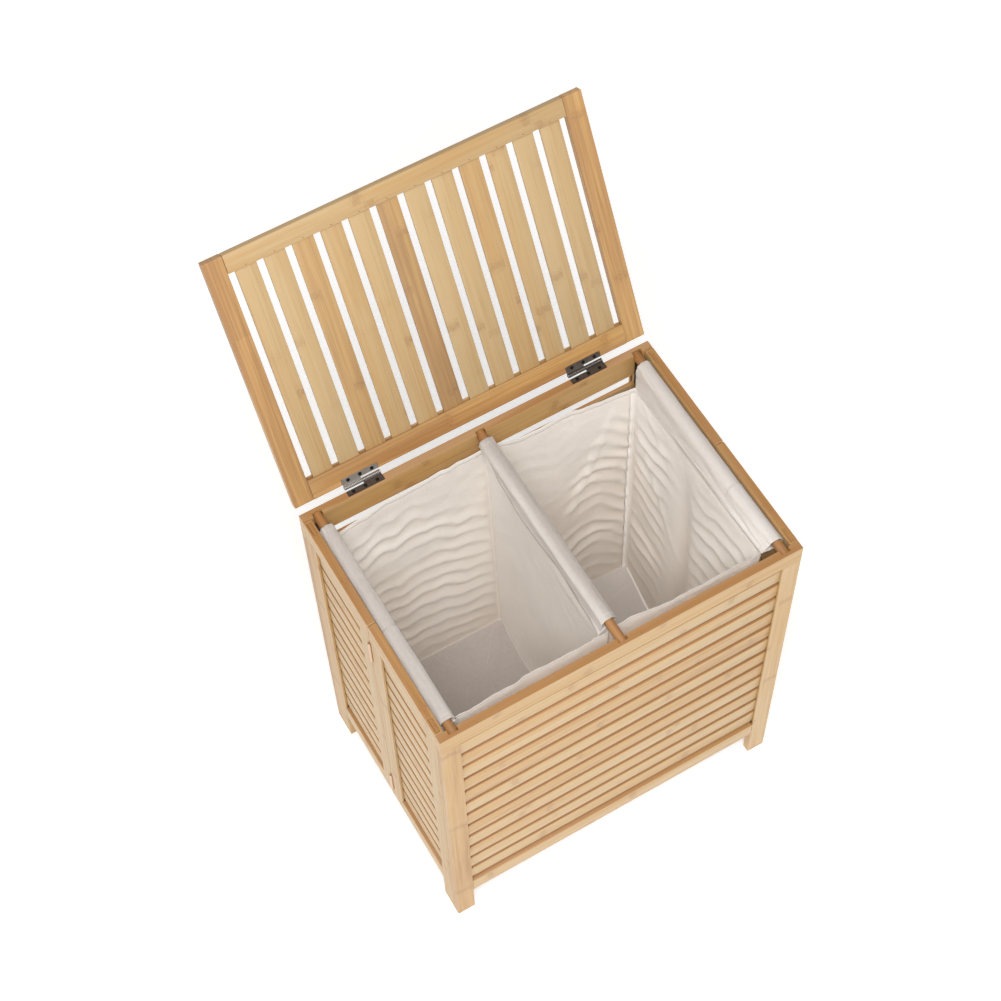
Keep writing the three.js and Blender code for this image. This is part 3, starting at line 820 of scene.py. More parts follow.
def slat_bank(name, node, along, layer, count, inner, body, tones):
    """A bank of separate slats and the bottom rail below them, in place of a CAD node."""
    boards, _, _, _ = settings()
    low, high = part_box(node)
    middle = (layer[0] + layer[1]) / 2
    half = boards.slat_thick / 2
    rail_top = low.z + boards.bottom_rail

    def corner(end, deep, z):
        return (end, deep, z) if along == 0 else (deep, end, z)

    first = board(
        f"{name}_slat",
        corner(inner[0] - boards.tongue, middle - half, high.z - boards.slat_width),
        corner(inner[1] + boards.tongue, middle + half, high.z),
        boards.slat_edge,
    )
    slats = repeated(first, count, (0, 0, -(high.z - rail_top) / count))
    for i, slat in enumerate(slats):
        mark_grain(slat, along, pick_tone(*tones, name, i))
    bank = joined(slats, f"{name}_slats")
    rail = board(
        f"{name}_bottom_rail",
        corner(inner[0] + RAIL_GAP, layer[0], low.z),
        corner(inner[1] - RAIL_GAP, layer[1], rail_top),
        boards.edge,
    )
    mark_grain(rail, along, pick_tone(*tones, name, "rail"))
    for piece in (bank, rail):
        dress(piece, bamboo("bamboo_by_board"))
        smooth(piece)
        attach(piece, body)
    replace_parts(bank, node)


class HAMPER_OT_boards(bpy.types.Operator):
    """Round and finish the legs, stiles and rails carried over from the frame."""

    bl_idname = "hamper.boards"
    bl_label = "Legs, Stiles and Rails"

    def execute(self, context):
        dress_cad_board("front_top_rail", 0, 0.32, 0.78)
        dress_cad_board("back_top_rail", 0, 0.4, 0.9)
        dress_cad_board("lid_rear_rail", 0, LID_RAIL_TONES["rear"], tilt=LID_OPEN)
        for side in SIDES:
            dress_cad_board(f"front_{side}_leg", 2, FRONT_LEG_TONES[side], 0.5)
            dress_cad_board(f"back_{side}_leg", 2, 0.5 + 0.15 * dice("back", side), 0.35)
            dress_cad_board(f"lid_{side}_stile", 1, LID_STILE_TONES[side], tilt=LID_OPEN)
            for end in ENDS:
                half = f"{side}_{end}"
                dress_cad_board(f"{half}_outer_stile", 2, 0.1 + 0.15 * dice(half), 0.95, paling_and_shade=0.0)
                dress_cad_board(f"{half}_seam_stile", 2, 0.02 + 0.12 * dice(half, 3), 0.8)
                dress_cad_board(f"{half}_top_rail", 1, 0.28 + 0.1 * dice(half, 5), 0.6)
        return {"FINISHED"}


class HAMPER_OT_slats(bpy.types.Operator):
    """Make the banks of slats and the bottom rails of the frames and side panels."""

    bl_idname = "hamper.slats"
    bl_label = "Slats and Bottom Rails"

    def execute(self, context):
        for end, count in (("front", FRONT_SLATS), ("back", BACK_SLATS)):
            inner = (span(f"{end}_left_leg", 0)[1], span(f"{end}_right_leg", 0)[0])
            layer = span(f"{end}_top_rail", 1)
            node = f"{end}_slats_and_bottom_rail"
            slat_bank(end, node, 0, layer, count, inner, f"{end}_frame", (0.0, 0.5))
        for side in SIDES:
            for end in ENDS:
                half = f"{side}_{end}"
                stiles = sorted(span(f"{half}_{kind}_stile", 1) for kind in ("outer", "seam"))
                inner = (stiles[0][1], stiles[1][0])
                layer = span(f"{half}_top_rail", 0)
                node = f"{half}_slats_and_bottom_rail"
                slat_bank(half, node, 1, layer, SIDE_SLATS, inner, f"{half}_panel", (0.0, 0.3))
        return {"FINISHED"}


def about_lid_pins(angle):
    """A turn about the lid's pins."""
    to_pin = Matrix.Translation(LID_PIN)
    return to_pin @ Matrix.Rotation(angle, 4, "X") @ Matrix.Translation(-LID_PIN)


def box_when(turn, node):
    """Lowest and highest corner of a CAD node that is turned first."""
    places = np.array([turn @ vertex.co for vertex in NODES[node].data.vertices])
    return places.min(0), places.max(0)


class HAMPER_OT_lid_slats(bpy.types.Operator):
    """Make the lid's slats and front rail, with a brad at each slat."""

    bl_idname = "hamper.lid_slats"
    bl_label = "Lid Slats and Front Rail"

    def execute(self, context):
        boards, _, _, _ = settings()
        # They are made as the lid lies when it is closed, and opened at the end
        closed = about_lid_pins(LID_OPEN)
        opened = closed.inverted()
        low, high = box_when(closed, "lid_slats_and_front_rail")
        stile_low, stile_high = box_when(closed, "lid_left_stile")
        inner = stile_high[0]
        bottom, top = stile_low[2], stile_high[2]
        rail_back = low[1] + boards.lid_front_rail
        middle, half = (bottom + top) / 2, boards.slat_thick / 2
        gap = (-2 * inner - LID_SLATS * boards.slat_width) / (LID_SLATS + 1)
        pitch = boards.slat_width + gap
        first = board(
            "lid_slat",
            (inner + gap, rail_back - boards.tongue, middle - half),
            (inner + gap + boards.slat_width, high[1], middle + half),
            boards.slat_edge,
        )
        slats = repeated(first, LID_SLATS, (pitch, 0, 0))
        for slat, tone in zip(slats, LID_TONES):
            mark_grain(slat, 1, tone, wide=0, shaded_edges=False)
        bank = joined(slats, "lid_slats")
        rail = board(
            "lid_front_rail",
            (inner + RAIL_GAP, low[1], bottom),
            (-inner - RAIL_GAP, rail_back, top),
            boards.edge,
        )
        mark_grain(rail, 0, LID_RAIL_TONES["front"], wide=1, shaded_edges=False)
        brad = screw_head("brad", boards.brad, mm(0.3), crossed=False)
        place = Vector((inner + gap + boards.slat_width / 2, rail_back - BRAD_INSET, bottom))
        brads = repeated(set_head(brad, "lid_brad", place, (0, 0, -1)), LID_SLATS, (pitch, 0, 0))
        bpy.data.objects.remove(brad)
        nails = dress(joined(brads, "lid_brads"), plated_metal("brad_steel", 0.05))
        for piece in (bank, rail, nails):
            piece.data.transform(opened)
            piece.data.update()
            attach(piece, "lid")
        for piece in (bank, rail):
            dress(piece, bamboo("bamboo_of_lid", shade=LID_SHADE))
            smooth(piece)
        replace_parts(bank, "lid_slats_and_front_rail")
        return {"FINISHED"}


class HAMPER_OT_rods(bpy.types.Operator):
    """Turn the three round rods that carry the liner."""

    bl_idname = "hamper.rods"
    bl_label = "Rods"

    def execute(self, context):
        boards, _, _, _ = settings()
        for name, (low, high) in ROD_SPANS.items():
            rod = cylinder(
                f"{name}_rod_turned",
                vertices=48,
                radius=ROD_RADIUS,
                depth=high.y - low.y,
                location=(low + high) / 2,
                rotation=(math.pi / 2, 0, 0),
            )
            finish_with(rod, "BEVEL", width=boards.rod_edge, segments=3, limit_method="ANGLE")
            dress(rod, rod_wood("rod_wood_satin"))
            smooth(rod)
            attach(rod, "liner_and_rods")
            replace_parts(rod, f"{name}_rod")
        return {"FINISHED"}


# ---- hinges --------------------------------------------------------------------------

# Lid hinges: how far a leaf lies off the pin, where its screws are along it, and how much smaller
# the box leaf's corners are, as shares of the barrel's radius, of half a leaf and of the setting
LEAF_OFF_PIN = 0.214
SCREW_PLACES = (-0.66, 0.0, 0.66)
LEAF_CORNERS = {"box": 0.6, "lid": 1.0}
# How much bare metal shows on each lid hinge. The lighter lid leaves and barrels, the left ones
# most, are partly a painted reflection
LID_HINGE_BARE_AND_SHEEN = {
    "left": {"box": 0.0, "lid": 0.62, "barrel": 0.62},
    "right": {"box": 0.0, "lid": 0.12, "barrel": 0.16},
}
CORNER_HINGE_SHINE, SEAM_HINGE_SHINE = 0.06, 0.8
# Folding hinges: screws from the pin, across the leaf and out of its face
CORNER_SCREW, CORNER_FACE = mm(7.8), mm(1.5)
SEAM_SCREW, SEAM_FACE = mm(6.6), mm(0.5)


def screw_head(name, radius, proud, crossed=True):
    """A low domed head about the origin, facing up, with a cross recess if crossed."""
    head = cylinder(name, vertices=24, radius=radius, depth=proud * 2)
    for polygon in head.data.polygons:
        polygon.select = polygon.normal.z > 0.9
    bpy.ops.object.mode_set(mode="EDIT")
    bpy.ops.mesh.select_mode(type="FACE")
    bpy.ops.mesh.inset(thickness=radius * 0.2, depth=proud * 0.3)
    bpy.ops.mesh.inset(thickness=radius * 0.25, depth=proud * 0.1)
    bpy.ops.object.mode_set(mode="OBJECT")
    if crossed:
        for turn in (0.35, 0.35 + math.pi / 2):
            deselect_all()
            bpy.ops.mesh.primitive_cube_add(
                size=1,
                location=(0, 0, proud * 1.5),
                scale=(radius * 1.1, radius * 0.26, proud * 1.6),
                rotation=(0, 0, turn),
            )
            cutter = settle(bpy.context.object)
            finish_with(head, "BOOLEAN", operation="DIFFERENCE", solver="EXACT", object=cutter)
            bpy.data.objects.remove(cutter)
    return smooth(head)


def set_head(master, name, place, facing):
    """A copy of a screw head, set on a face."""
    turn = Vector((0, 0, 1)).rotation_difference(Vector(facing)).to_matrix().to_4x4()
    head = copied(master, name, (0, 0, 0))
    head.data.transform(Matrix.Translation(place) @ turn)
    return head


def ribbed_barrel(name, start, end, y, z, radius, ribs):
    """A hinge barrel along X, made of one rib and its copies."""
    pitch = (end - start) / ribs
    rib = cylinder(
        f"{name}_rib",
        vertices=28,
        radius=radius,
        depth=pitch,
        location=(start + pitch / 2, y, z),
        rotation=(0, math.pi / 2, 0),
    )
    finish_with(rib, "BEVEL", width=pitch * 0.3, segments=2, limit_method="ANGLE")
    axis = Vector((y, z))
    # Painted shade: the rib's groove gets a mark that draws it nearly black
    deep = [float((v.co.yz - axis).length < radius * 0.93) for v in rib.data.vertices]
    rib.data.attributes.new("groove", "FLOAT", "POINT").data.foreach_set("value", deep)
    return joined(repeated(rib, ribs, (pitch, 0, 0)), name)


class HAMPER_OT_lid_hinges(bpy.types.Operator):
    """Make the two lid hinges with their rounded leaves, ribbed barrels and screws."""

    bl_idname = "hamper.lid_hinges"
    bl_label = "Lid Hinges"

    def execute(self, context):
        hinges = context.scene.hamper_hinges
        opened = about_lid_pins(-LID_OPEN)
        master = screw_head("screw", hinges.screw, hinges.head)
        for side in SIDES:
            low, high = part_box(f"{side}_lid_hinge_box_leaf")
            middle, half = (low.x + high.x) / 2, (high.x - low.x) / 2
            radius = (high.z - low.z) / 2
            pin_y, pin_z = high.y - radius, high.z - radius
            outer = pin_y - hinges.leaf_reach
            bare_and_sheen = LID_HINGE_BARE_AND_SHEEN[side]
            # Each leaf has its half of the barrel: the box's the right half, the lid's the left
            for kind, body, up, start, end in (
                ("box", "back_frame", -1, middle + mm(0.15), high.x),
                ("lid", "lid", 1, low.x, middle - mm(0.15)),
            ):
                name = f"{side}_{kind}_leaf"
                near = pin_z + up * radius * LEAF_OFF_PIN
                bottom, top = sorted((near, near + up * hinges.leaf_thick))
                corner = hinges.leaf_corner * LEAF_CORNERS[kind]
                plate = board(
                    name, (low.x, low.y, bottom), (high.x, outer, top), mm(0.15), 1, corner
                )
                web = board(
                    f"{name}_web", (start, outer - mm(0.4), bottom), (end, pin_y, top), mm(0.12), 1
                )
                barrel = ribbed_barrel(
                    f"{name}_barrel", start, end, pin_y, pin_z, radius, hinges.ribs
                )
                leaf = joined([plate, web], name)
                heads = [
                    set_head(
                        master,
                        f"{name}_screw_{i}",
                        (middle + half * x, (low.y + outer) / 2, near),
                        (0, 0, -up),
                    )
                    for i, x in enumerate(SCREW_PLACES)
                ]
                screws = joined(heads, f"{name}_screws")
                # Bare metal and, on the lid leaf and barrel, painted reflection
                dress(leaf, plated_metal(f"plating_{name}", bare_and_sheen[kind]))
                dress(barrel, plated_metal(f"plating_{side}_barrel", bare_and_sheen["barrel"]))
                dress(screws, blackened_steel("blackened_steel"))
                for piece in (leaf, barrel, screws):
                    if kind == "lid":
                        piece.data.transform(opened)
                    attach(piece, body)
                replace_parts(smooth(leaf, 40), f"{side}_lid_hinge_{kind}_leaf")
        bpy.data.objects.remove(master)
        return {"FINISHED"}


def plate_cad_leaf(node, name, bright, bare="nickel"):
    """Rounds and plates a carried-over hinge leaf."""
    leaf = soften(NODES[node], width=mm(0.2), segments=1, angle=50, merge=NEARLY / 2)
    dress(leaf, plated_metal(name, bright, bare))


def inside(node, axis, sign, inset):
    """A place an inset in from the low or high end of a CAD node, as the sign says."""
    low, high = span(node, axis)
    return high - inset if sign > 0 else low + inset


class HAMPER_OT_folding_hinges(bpy.types.Operator):
    """Finish the corner and seam hinges and add their screws."""

    bl_idname = "hamper.folding_hinges"
    bl_label = "Folding Hinges"

    def execute(self, context):
        hinges = context.scene.hamper_hinges
        master = screw_head("screw", hinges.small_screw, hinges.head)
        heads = {}

        def add_screws(body, node, x, y, facing):
            middle = sum(span(node, 2)) / 2
            for z in (middle - hinges.screw_spread, middle, middle + hinges.screw_spread):
                head = set_head(master, f"{node}_screw", (x, y, z), facing)
                heads.setdefault(body, []).append(head)

        for (side_name, side), (end_name, end), height in itertools.product(
            SIDES.items(), ENDS.items(), ("upper", "lower")
        ):
            half = f"{side_name}_{end_name}"
            frame_body = "back_frame" if end > 0 else "front_frame"
            on_frame = f"{half}_corner_hinge_{height}_frame_leaf"
            on_panel = f"{half}_corner_hinge_{height}_panel_leaf"
            for leaf in (on_frame, on_panel):
                plate_cad_leaf(leaf, "plating_corner", CORNER_HINGE_SHINE)
            x = inside(on_frame, 0, side, hinges.corner_knuckle)
            y = inside(on_frame, 1, -end, hinges.corner_knuckle)
            spot = x - side * CORNER_SCREW, y + end * CORNER_FACE
            add_screws(frame_body, on_frame, *spot, (0, -end, 0))
            spot = x + side * CORNER_FACE, y - end * CORNER_SCREW
            add_screws(f"{half}_panel", on_panel, *spot, (-side, 0, 0))
            seam = f"{side_name}_seam_hinge_{height}_{end_name}_leaf"
            plate_cad_leaf(seam, "plating_seam", SEAM_HINGE_SHINE, "bronze")
            x = inside(seam, 0, side, hinges.seam_knuckle) - side * SEAM_SCREW
            add_screws(f"{half}_panel", seam, x, MIDDLE_Y + end * SEAM_FACE, (0, -end, 0))
        for body, pieces in heads.items():
            screws = dress(joined(pieces, f"{body}_screws"), blackened_steel("blackened_steel"))
            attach(screws, body)
        bpy.data.objects.remove(master)
        return {"FINISHED"}


# ---- liner ---------------------------------------------------------------------------

# How the two bins hang: plan places from the middle of the box and heights over the floor, in mm.
# top and foot are each wall's ends, front and back. The hems and the ridge give the rim's height,
# and sway how far the front hem hangs out. rise and depth belong to the back wall's ripples. floor
# is how much painted shade darkens the floor, and lift its height over the bottom rail.
BINS = {
    "left": {
        "top": {"outer": ((-228, -152), (-226, 157)), "inner": ((-1, -147), (-1, 158))},
        "foot": {"outer": ((-214, -150), (-216, 152)), "inner": ((2, -150), (5, 150))},
        "bow": 8,
        "back_hem": ((-228, 557), (-188, 568), (-143, 575), (-84, 579), (0, 583)),
        "front_hem": ((-228, 580), (-130, 579), (-60, 576), (0, 574)),
        "front_sway": ((-228, 0), (-190, -1), (-130, 1.5), (-60, 0.5), (0, 0)),
        "ridge": ((-153, 584), (0, 566), (157, 556)),
        "floor": 0.78,
        "lift": 38,
        "seed": 11.0,
        "back_rise": ((-228, -38), (-205, -16), (-162, 0), (-108, 4), (-56, -12), (-8, -34)),
        "back_depth": (
            (-228, 0.3), (-218, 0.8), (-200, 1), (-150, 1.1), (-100, 1), (-50, 0.85), (-12, 0.5),
            (0, 0),
        ),
    },
    "right": {
        "top": {"outer": ((219, -154), (227, 155)), "inner": ((1, -144), (1, 158))},
        "foot": {"outer": ((205, -150), (220, 141)), "inner": ((4, -150), (7, 150))},
        "bow": 9,
        "back_hem": (
            (0, 583), (15, 579), (50, 566), (80, 566), (111, 569), (141, 563), (172, 557),
            (228, 549),
        ),
        "front_hem": ((0, 573), (70, 575), (150, 577), (222, 584)),
        "front_sway": ((0, 0), (40, 1), (70, -2), (100, -2), (150, -1), (222, 0)),
        "ridge": ((-154, 585), (0, 568), (155, 550)),
        "floor": 0.58,
        "lift": 19,
        "seed": 47.0,
        "back_rise": (
            (0, -10), (60, -6), (100, -28), (118, -18), (143, 4), (160, 7), (176, 0), (200, -22),
            (228, -56),
        ),
        "back_depth": ((0, 0.1), (60, 0.25), (100, 0.2), (228, 0.35)),
    },
}
# The right bin's back wall is gathered only between this slanting fold and the corner
GATHER_FOLD = (
    (269, 107), (321, 114), (393, 126), (433, 142), (472, 157), (498, 172), (524, 192), (545, 210),
)
# Across an end wall, from front to back: how its ripples rise, and how deep they are
END_RISE = (
    (-155, -16), (-120, 8), (-60, -4), (-10, -26), (20, 0), (60, 14), (90, 6), (120, 0), (155, -6),
)
END_DEPTH = (
    (-155, 0.1), (-146, 0.9), (-110, 1.5), (-50, 1.4), (-12, 0.6), (5, 0), (38, 0), (58, 0.7),
    (80, 1.4), (120, 1.6), (147, 1.1), (155, 0.1),
)
# Where the soft upright fold of an end wall lies at each height
END_VALLEY = ((293, -6), (415, 5), (559, 34))
# Straight creases in a wall's own plane: from a place, to a place, how wide and how high, in mm
CREASES = {
    ("left", "inner"): (((-124, 524), (-14, 520), 13, 3), ((150, 372), (103, 448), 9, 1.2)),
    ("right", "inner"): (((-124, 524), (-14, 520), 13, -3), ((150, 372), (103, 448), 9, -1.2)),
    ("right", "outer"): (((147, 480), (-3, 300), 4.5, 1.8), ((140, 545), (30, 470), 6, 1.6)),
    ("right", "back"): (((192, 524), (107, 269), 5, 3),),
}
# How far each wall hangs inwards at its middle
BELLY = {"back": mm(2.5), "outer": mm(3), "inner": 0.0, "front": mm(3)}
# Noise in the walls: how often it changes in a metre, along and up, its own row, and its height
WARP, WRINKLE = (13, 7, 9, mm(11)), (38, 22, 2, mm(7))
SOFT, FINE, PUCKER = (6, 5, 21, mm(3)), (42, 60, 3, mm(0.45)), (95, 14, 31, mm(0.9))
# Small waves along the hems: how often in a metre, their row of noise, and their height
HEM_WAVES = {"back": ((22, 3.1, mm(1.6)),), "front": ((26, 7.7, mm(2.6)), (75, 2.7, mm(1.3)))}
# Ripples grow from this far below the rim over that height, and fade to the floor likewise
BELOW_RIM, GROWTH = mm(22), mm(45)
ABOVE_FLOOR, FADING = mm(8), mm(50)
# At the two ends of a wall, over these shares of it, the belly and then all of it dies away
BELLY_ENDS, WALL_ENDS = 0.06, 0.035
VALLEY_HIGH, VALLEY_WIDE = mm(6), mm(17)
PUCKER_REACH, SOFT_REACH, RUFFLE_REACH = mm(16), mm(35), mm(40)
# A patch of ripples is at least this deep, usually that deep, and at most so deep
PATCH_LEAST, PATCH_USUAL, PATCH_MOST = 0.1, 0.75, 1.3
# Painted warm shade and glow on each wall of a bin: how much at its edge, and more of it further
# down
WARM_SHADE_AND_GLOW = {
    "back": (0.4, 0.55), "outer": (0.0, 0.85), "inner": (0.0, 0.15), "front": (0.3, 0.3),
    "corner": (0.2, 0.5),
}
# Painted shade that greys the folded edge of each wall's hem
HEM_SHADE = {"outer": 0.6, "front": 0.5, "back": 0.3, "inner": 0.3, "corner": 0.3}
# The divider hangs from the middle sleeve, and rises to the hems near its two ends
DIVIDER_TOP, DIVIDER_RISE = mm(568), mm(12)
DIVIDER_ENDS = (("back", 1, mm(158)), ("front", -1, mm(146)))
CREST_LEAN, CREST_SHARPNESS, CREST_MIDDLE = 0.45, 1.7, 0.38
CORNER_ROUND = mm(4)
SEAM_STEP = mm(0.6)
HEM_FOLD = mm(0.8)
RIM_Z = mm(575)
FLOOR_TURN, FLOOR_SAG = mm(2), mm(4.5)
# Rings of a bin's floor: how far in and how high in mm, and then as shares of the way to the middle
FLOOR_EDGE = ((0.6, 1.4), (1.4, 1.0), (3.6, 0.6), (5.0, 0.3))
FLOOR_RINGS = (0.03, 0.07, 0.12, 0.18, 0.25, 0.33, 0.42, 0.52, 0.63, 0.75, 0.88)
# Sleeves: along the rod, where the stitched ridge lies beside the rod's middle and its height;
# which rod it is on, how far it hangs to one side, how much painted shade greys it, and the place
# where its front length ends, over its rear one (the centre sleeve is a single length)
SLEEVES = {
    "left": {
        "ridge": ((-159, 9, 586), (-120, 10, 577), (0, 13, 566), (100, 14, 560), (152, 13, 558)),
        "rod": -1, "lean": 1.4, "grey": 0.72, "overlap": -14, "seed": 2.0,
    },
    "centre": {
        "ridge": (
            (-143, -13, 575), (-110, -8, 568), (-36, -6, 566), (58, -9, 567), (112, -7, 569),
            (160, 0, 575),
        ),
        "rod": 0, "lean": 0.2, "grey": 0.8, "overlap": 400, "seed": 5.0,
    },
    "right": {
        "ridge": (
            (-156, -18, 586), (-80, -17, 576), (0, -14, 567), (80, -12, 559), (156, -10, 551),
        ),
        "rod": 1, "lean": -1.4, "grey": 0.6, "overlap": -62, "seed": 8.0,
    },
}
# The sleeve's profile: how many steps it takes down to the ridge on each side, and round the rod
RIDGE_STEPS, ROUND_STEPS = 10, 26
# Its round part lies a little below the rod, and off it. Its front length lies over the rear one.
SLEEVE_DROP, SLEEVE_OFF, SLEEVE_OVER = mm(1.5), mm(1.6), mm(0.7)
# Half the ridge's thickness, and how far the cloth's edges reach past its stitches
RIDGE_HALF, RIDGE_TAIL = mm(0.75), mm(3.5)
# Extra rows near a sleeve's ends, for its stitches
END_ROWS = (1.0, 7.0, 7.8, 8.6)
STITCHES_FROM, STITCHES_TO = mm(6.9), mm(8.7)


def plain_table(table, place, column=1):
    """A value between the entries of a table whose first column is millimetres."""
    return float(np.interp(place * 1000, [row[0] for row in table], [row[column] for row in table]))


def along_table(table, place, column=1):
    """A value between the entries of a table in millimetres, in metres."""
    return mm(plain_table(table, place, column))


def clamp(value):
    """A value kept from 0 to 1."""
    return min(1.0, max(0.0, value))


def wobble(x, y, z):
    """Smooth noise round nought."""
    return noise.noise(Vector((x, y, z)))


def bell(off, wide):
    """1 in the middle, and fading to 0 on both sides."""
    return math.exp(-((off / wide) ** 2))


class Rows:
    """The closed rows of points of a sheet, with how far each one is along it, and its marks."""

    def __init__(self):
        self.points, self.drops = [], []
        # floor and warm carry painted shade
        self.marks = {"floor": [], "stitch": [], "seam": [], "warm": []}

    def add(self, points, drop, **marks):
        """Adds a row. A mark is one value for the whole row, or one for each point."""
        self.points.append(points)
        self.drops.append(drop)
        for label, values in self.marks.items():
            values.append(np.broadcast_to(marks.get(label, 0.0), len(points)))


def lengths_round(points):
    """How far each point of a closed line is from its start, and how long it is."""
    runs = [0.0]
    for a, b in zip(points, points[1:] + points[:1]):
        runs.append(runs[-1] + (b - a).length)
    return runs


def cloth_piece(name, rows, runs, hub=None, hub_shade=0.0):
    """A piece of cloth from its rows, with a map in metres. A hub closes its last row."""
    _, cloth, _, _ = settings()
    count = len(rows.points[0])
    faces, corner_uvs = [], []
    for r in range(len(rows.points) - 1):
        for i in range(count):
            j = (i + 1) % count
            faces.append((r * count + i, r * count + j, (r + 1) * count + j, (r + 1) * count + i))
            for run, drop in ((i, r), (i + 1, r), (i + 1, r + 1), (i, r + 1)):
                corner_uvs.append((runs[run], rows.drops[drop]))
    mesh = bpy.data.meshes.new(name)
    mesh.from_pydata([tuple(p) for row in rows.points for p in row], [], faces)
    uvs = np.array(corner_uvs, np.float32).ravel()
    mesh.uv_layers.new(name="cloth").data.foreach_set("uv", uvs)
    for label, values in rows.marks.items():
        attribute = mesh.attributes.new(label, "FLOAT", "POINT")
        attribute.data.foreach_set("value", np.asarray(values, np.float32).ravel())
    mesh.update()
    bm = bmesh.new()
    bm.from_mesh(mesh)
    if hub:
        ring = list(bm.verts)[-count:]
        middle = bm.verts.new(hub)
        middle[bm.verts.layers.float["floor"]] = hub_shade
        for a, b in zip(ring, ring[1:] + ring[:1]):
            bm.faces.new((a, b, middle))
    bmesh.ops.recalc_face_normals(bm, faces=bm.faces)
    bm.to_mesh(mesh)
    bm.free()
    obj = bpy.data.objects.new(name, mesh)
    bpy.context.scene.collection.objects.link(obj)
    finish_with(obj, "SOLIDIFY", thickness=cloth.thick, offset=0.0)
    dress(obj, liner_cloth("liner_plain_weave"))
    bpy.ops.object.shade_smooth()
    return obj


class Station(NamedTuple):
    """A place on a bin's rim: its wall, how far along it, and where it is at the top and foot."""

    wall: str
    share: float
    top: Vector
    foot: Vector
    normal: Vector
    seam: float = 0.0

    def off(self, place, out):
        """A place moved out from the wall."""
        return place.x + self.normal.x * out, place.y + self.normal.y * out

    def edge(self, share_of):
        """0 at the ends of the wall, and 1 from a share of its length on."""
        return min(1.0, min(self.share, 1 - self.share) / share_of)


def rim_stations(form, side):
    """The places round a bin's rim, wall by wall, with small round corners between them."""
    _, cloth, _, _ = settings()

    def corner(level, wall, index):
        x, y = form[level][wall][index]
        return Vector((mm(x), MIDDLE_Y + mm(y)))

    walls = (
        ("outer", ("outer", 0), ("outer", 1), Vector((side, 0))),
        ("back", ("outer", 1), ("inner", 1), Vector((0, 1))),
        ("inner", ("inner", 1), ("inner", 0), Vector((-side, 0))),
        ("front", ("inner", 0), ("outer", 0), Vector((0, -1))),
    )
    stations = []
    for index, (wall, start, end, normal) in enumerate(walls):
        tops = corner("top", *start), corner("top", *end)
        feet = corner("foot", *start), corner("foot", *end)
        run = (tops[1] - tops[0]).length
        count = round(run / cloth.grid)
        places = set(np.linspace(CORNER_ROUND, run - CORNER_ROUND, count).round(6))
        for edge in (cloth.seam, cloth.seam + SEAM_STEP):
            places |= {round(edge, 6), round(run - edge, 6)}
        for place in sorted(places):
            t = place / run
            banded = wall == "back" and place < min(cloth.seam + SEAM_STEP / 2, run / 2)
            top, foot = tops[0].lerp(tops[1], t), feet[0].lerp(feet[1], t)
            stations.append(Station(wall, t, top, foot, normal, float(banded)))
        turned = walls[(index + 1) % 4][3]
        for step in (0.25, 0.5, 0.75):
            angle = step * math.pi / 2
            lean = normal * math.cos(angle) + turned * math.sin(angle)
            inset = (normal + turned) * -CORNER_ROUND + lean * CORNER_ROUND
            stations.append(Station("corner", step, tops[1] + inset, feet[1] + inset, lean))
    return stations


def fold_wave(phase):
    """One ripple of the cloth: a narrow crest towards the inside of the bin, steeper below it."""
    crest = (0.5 + 0.5 * math.cos(phase + CREST_LEAN * math.cos(phase))) ** CREST_SHARPNESS
    return CREST_MIDDLE - crest


def crease(place, start, end, wide, high):
    """How far a thin straight fold from start to end lifts the cloth, on a wall's own plane."""
    start, end = Vector(start) * mm(1), Vector(end) * mm(1)
    line = end - start
    from_start = Vector(place) - start
    t = clamp(from_start.dot(line) / line.length_squared)
    off = (from_start - line * t).length
    return mm(high) * bell(off, mm(wide)) * math.sin(math.pi * (0.08 + 0.84 * t))


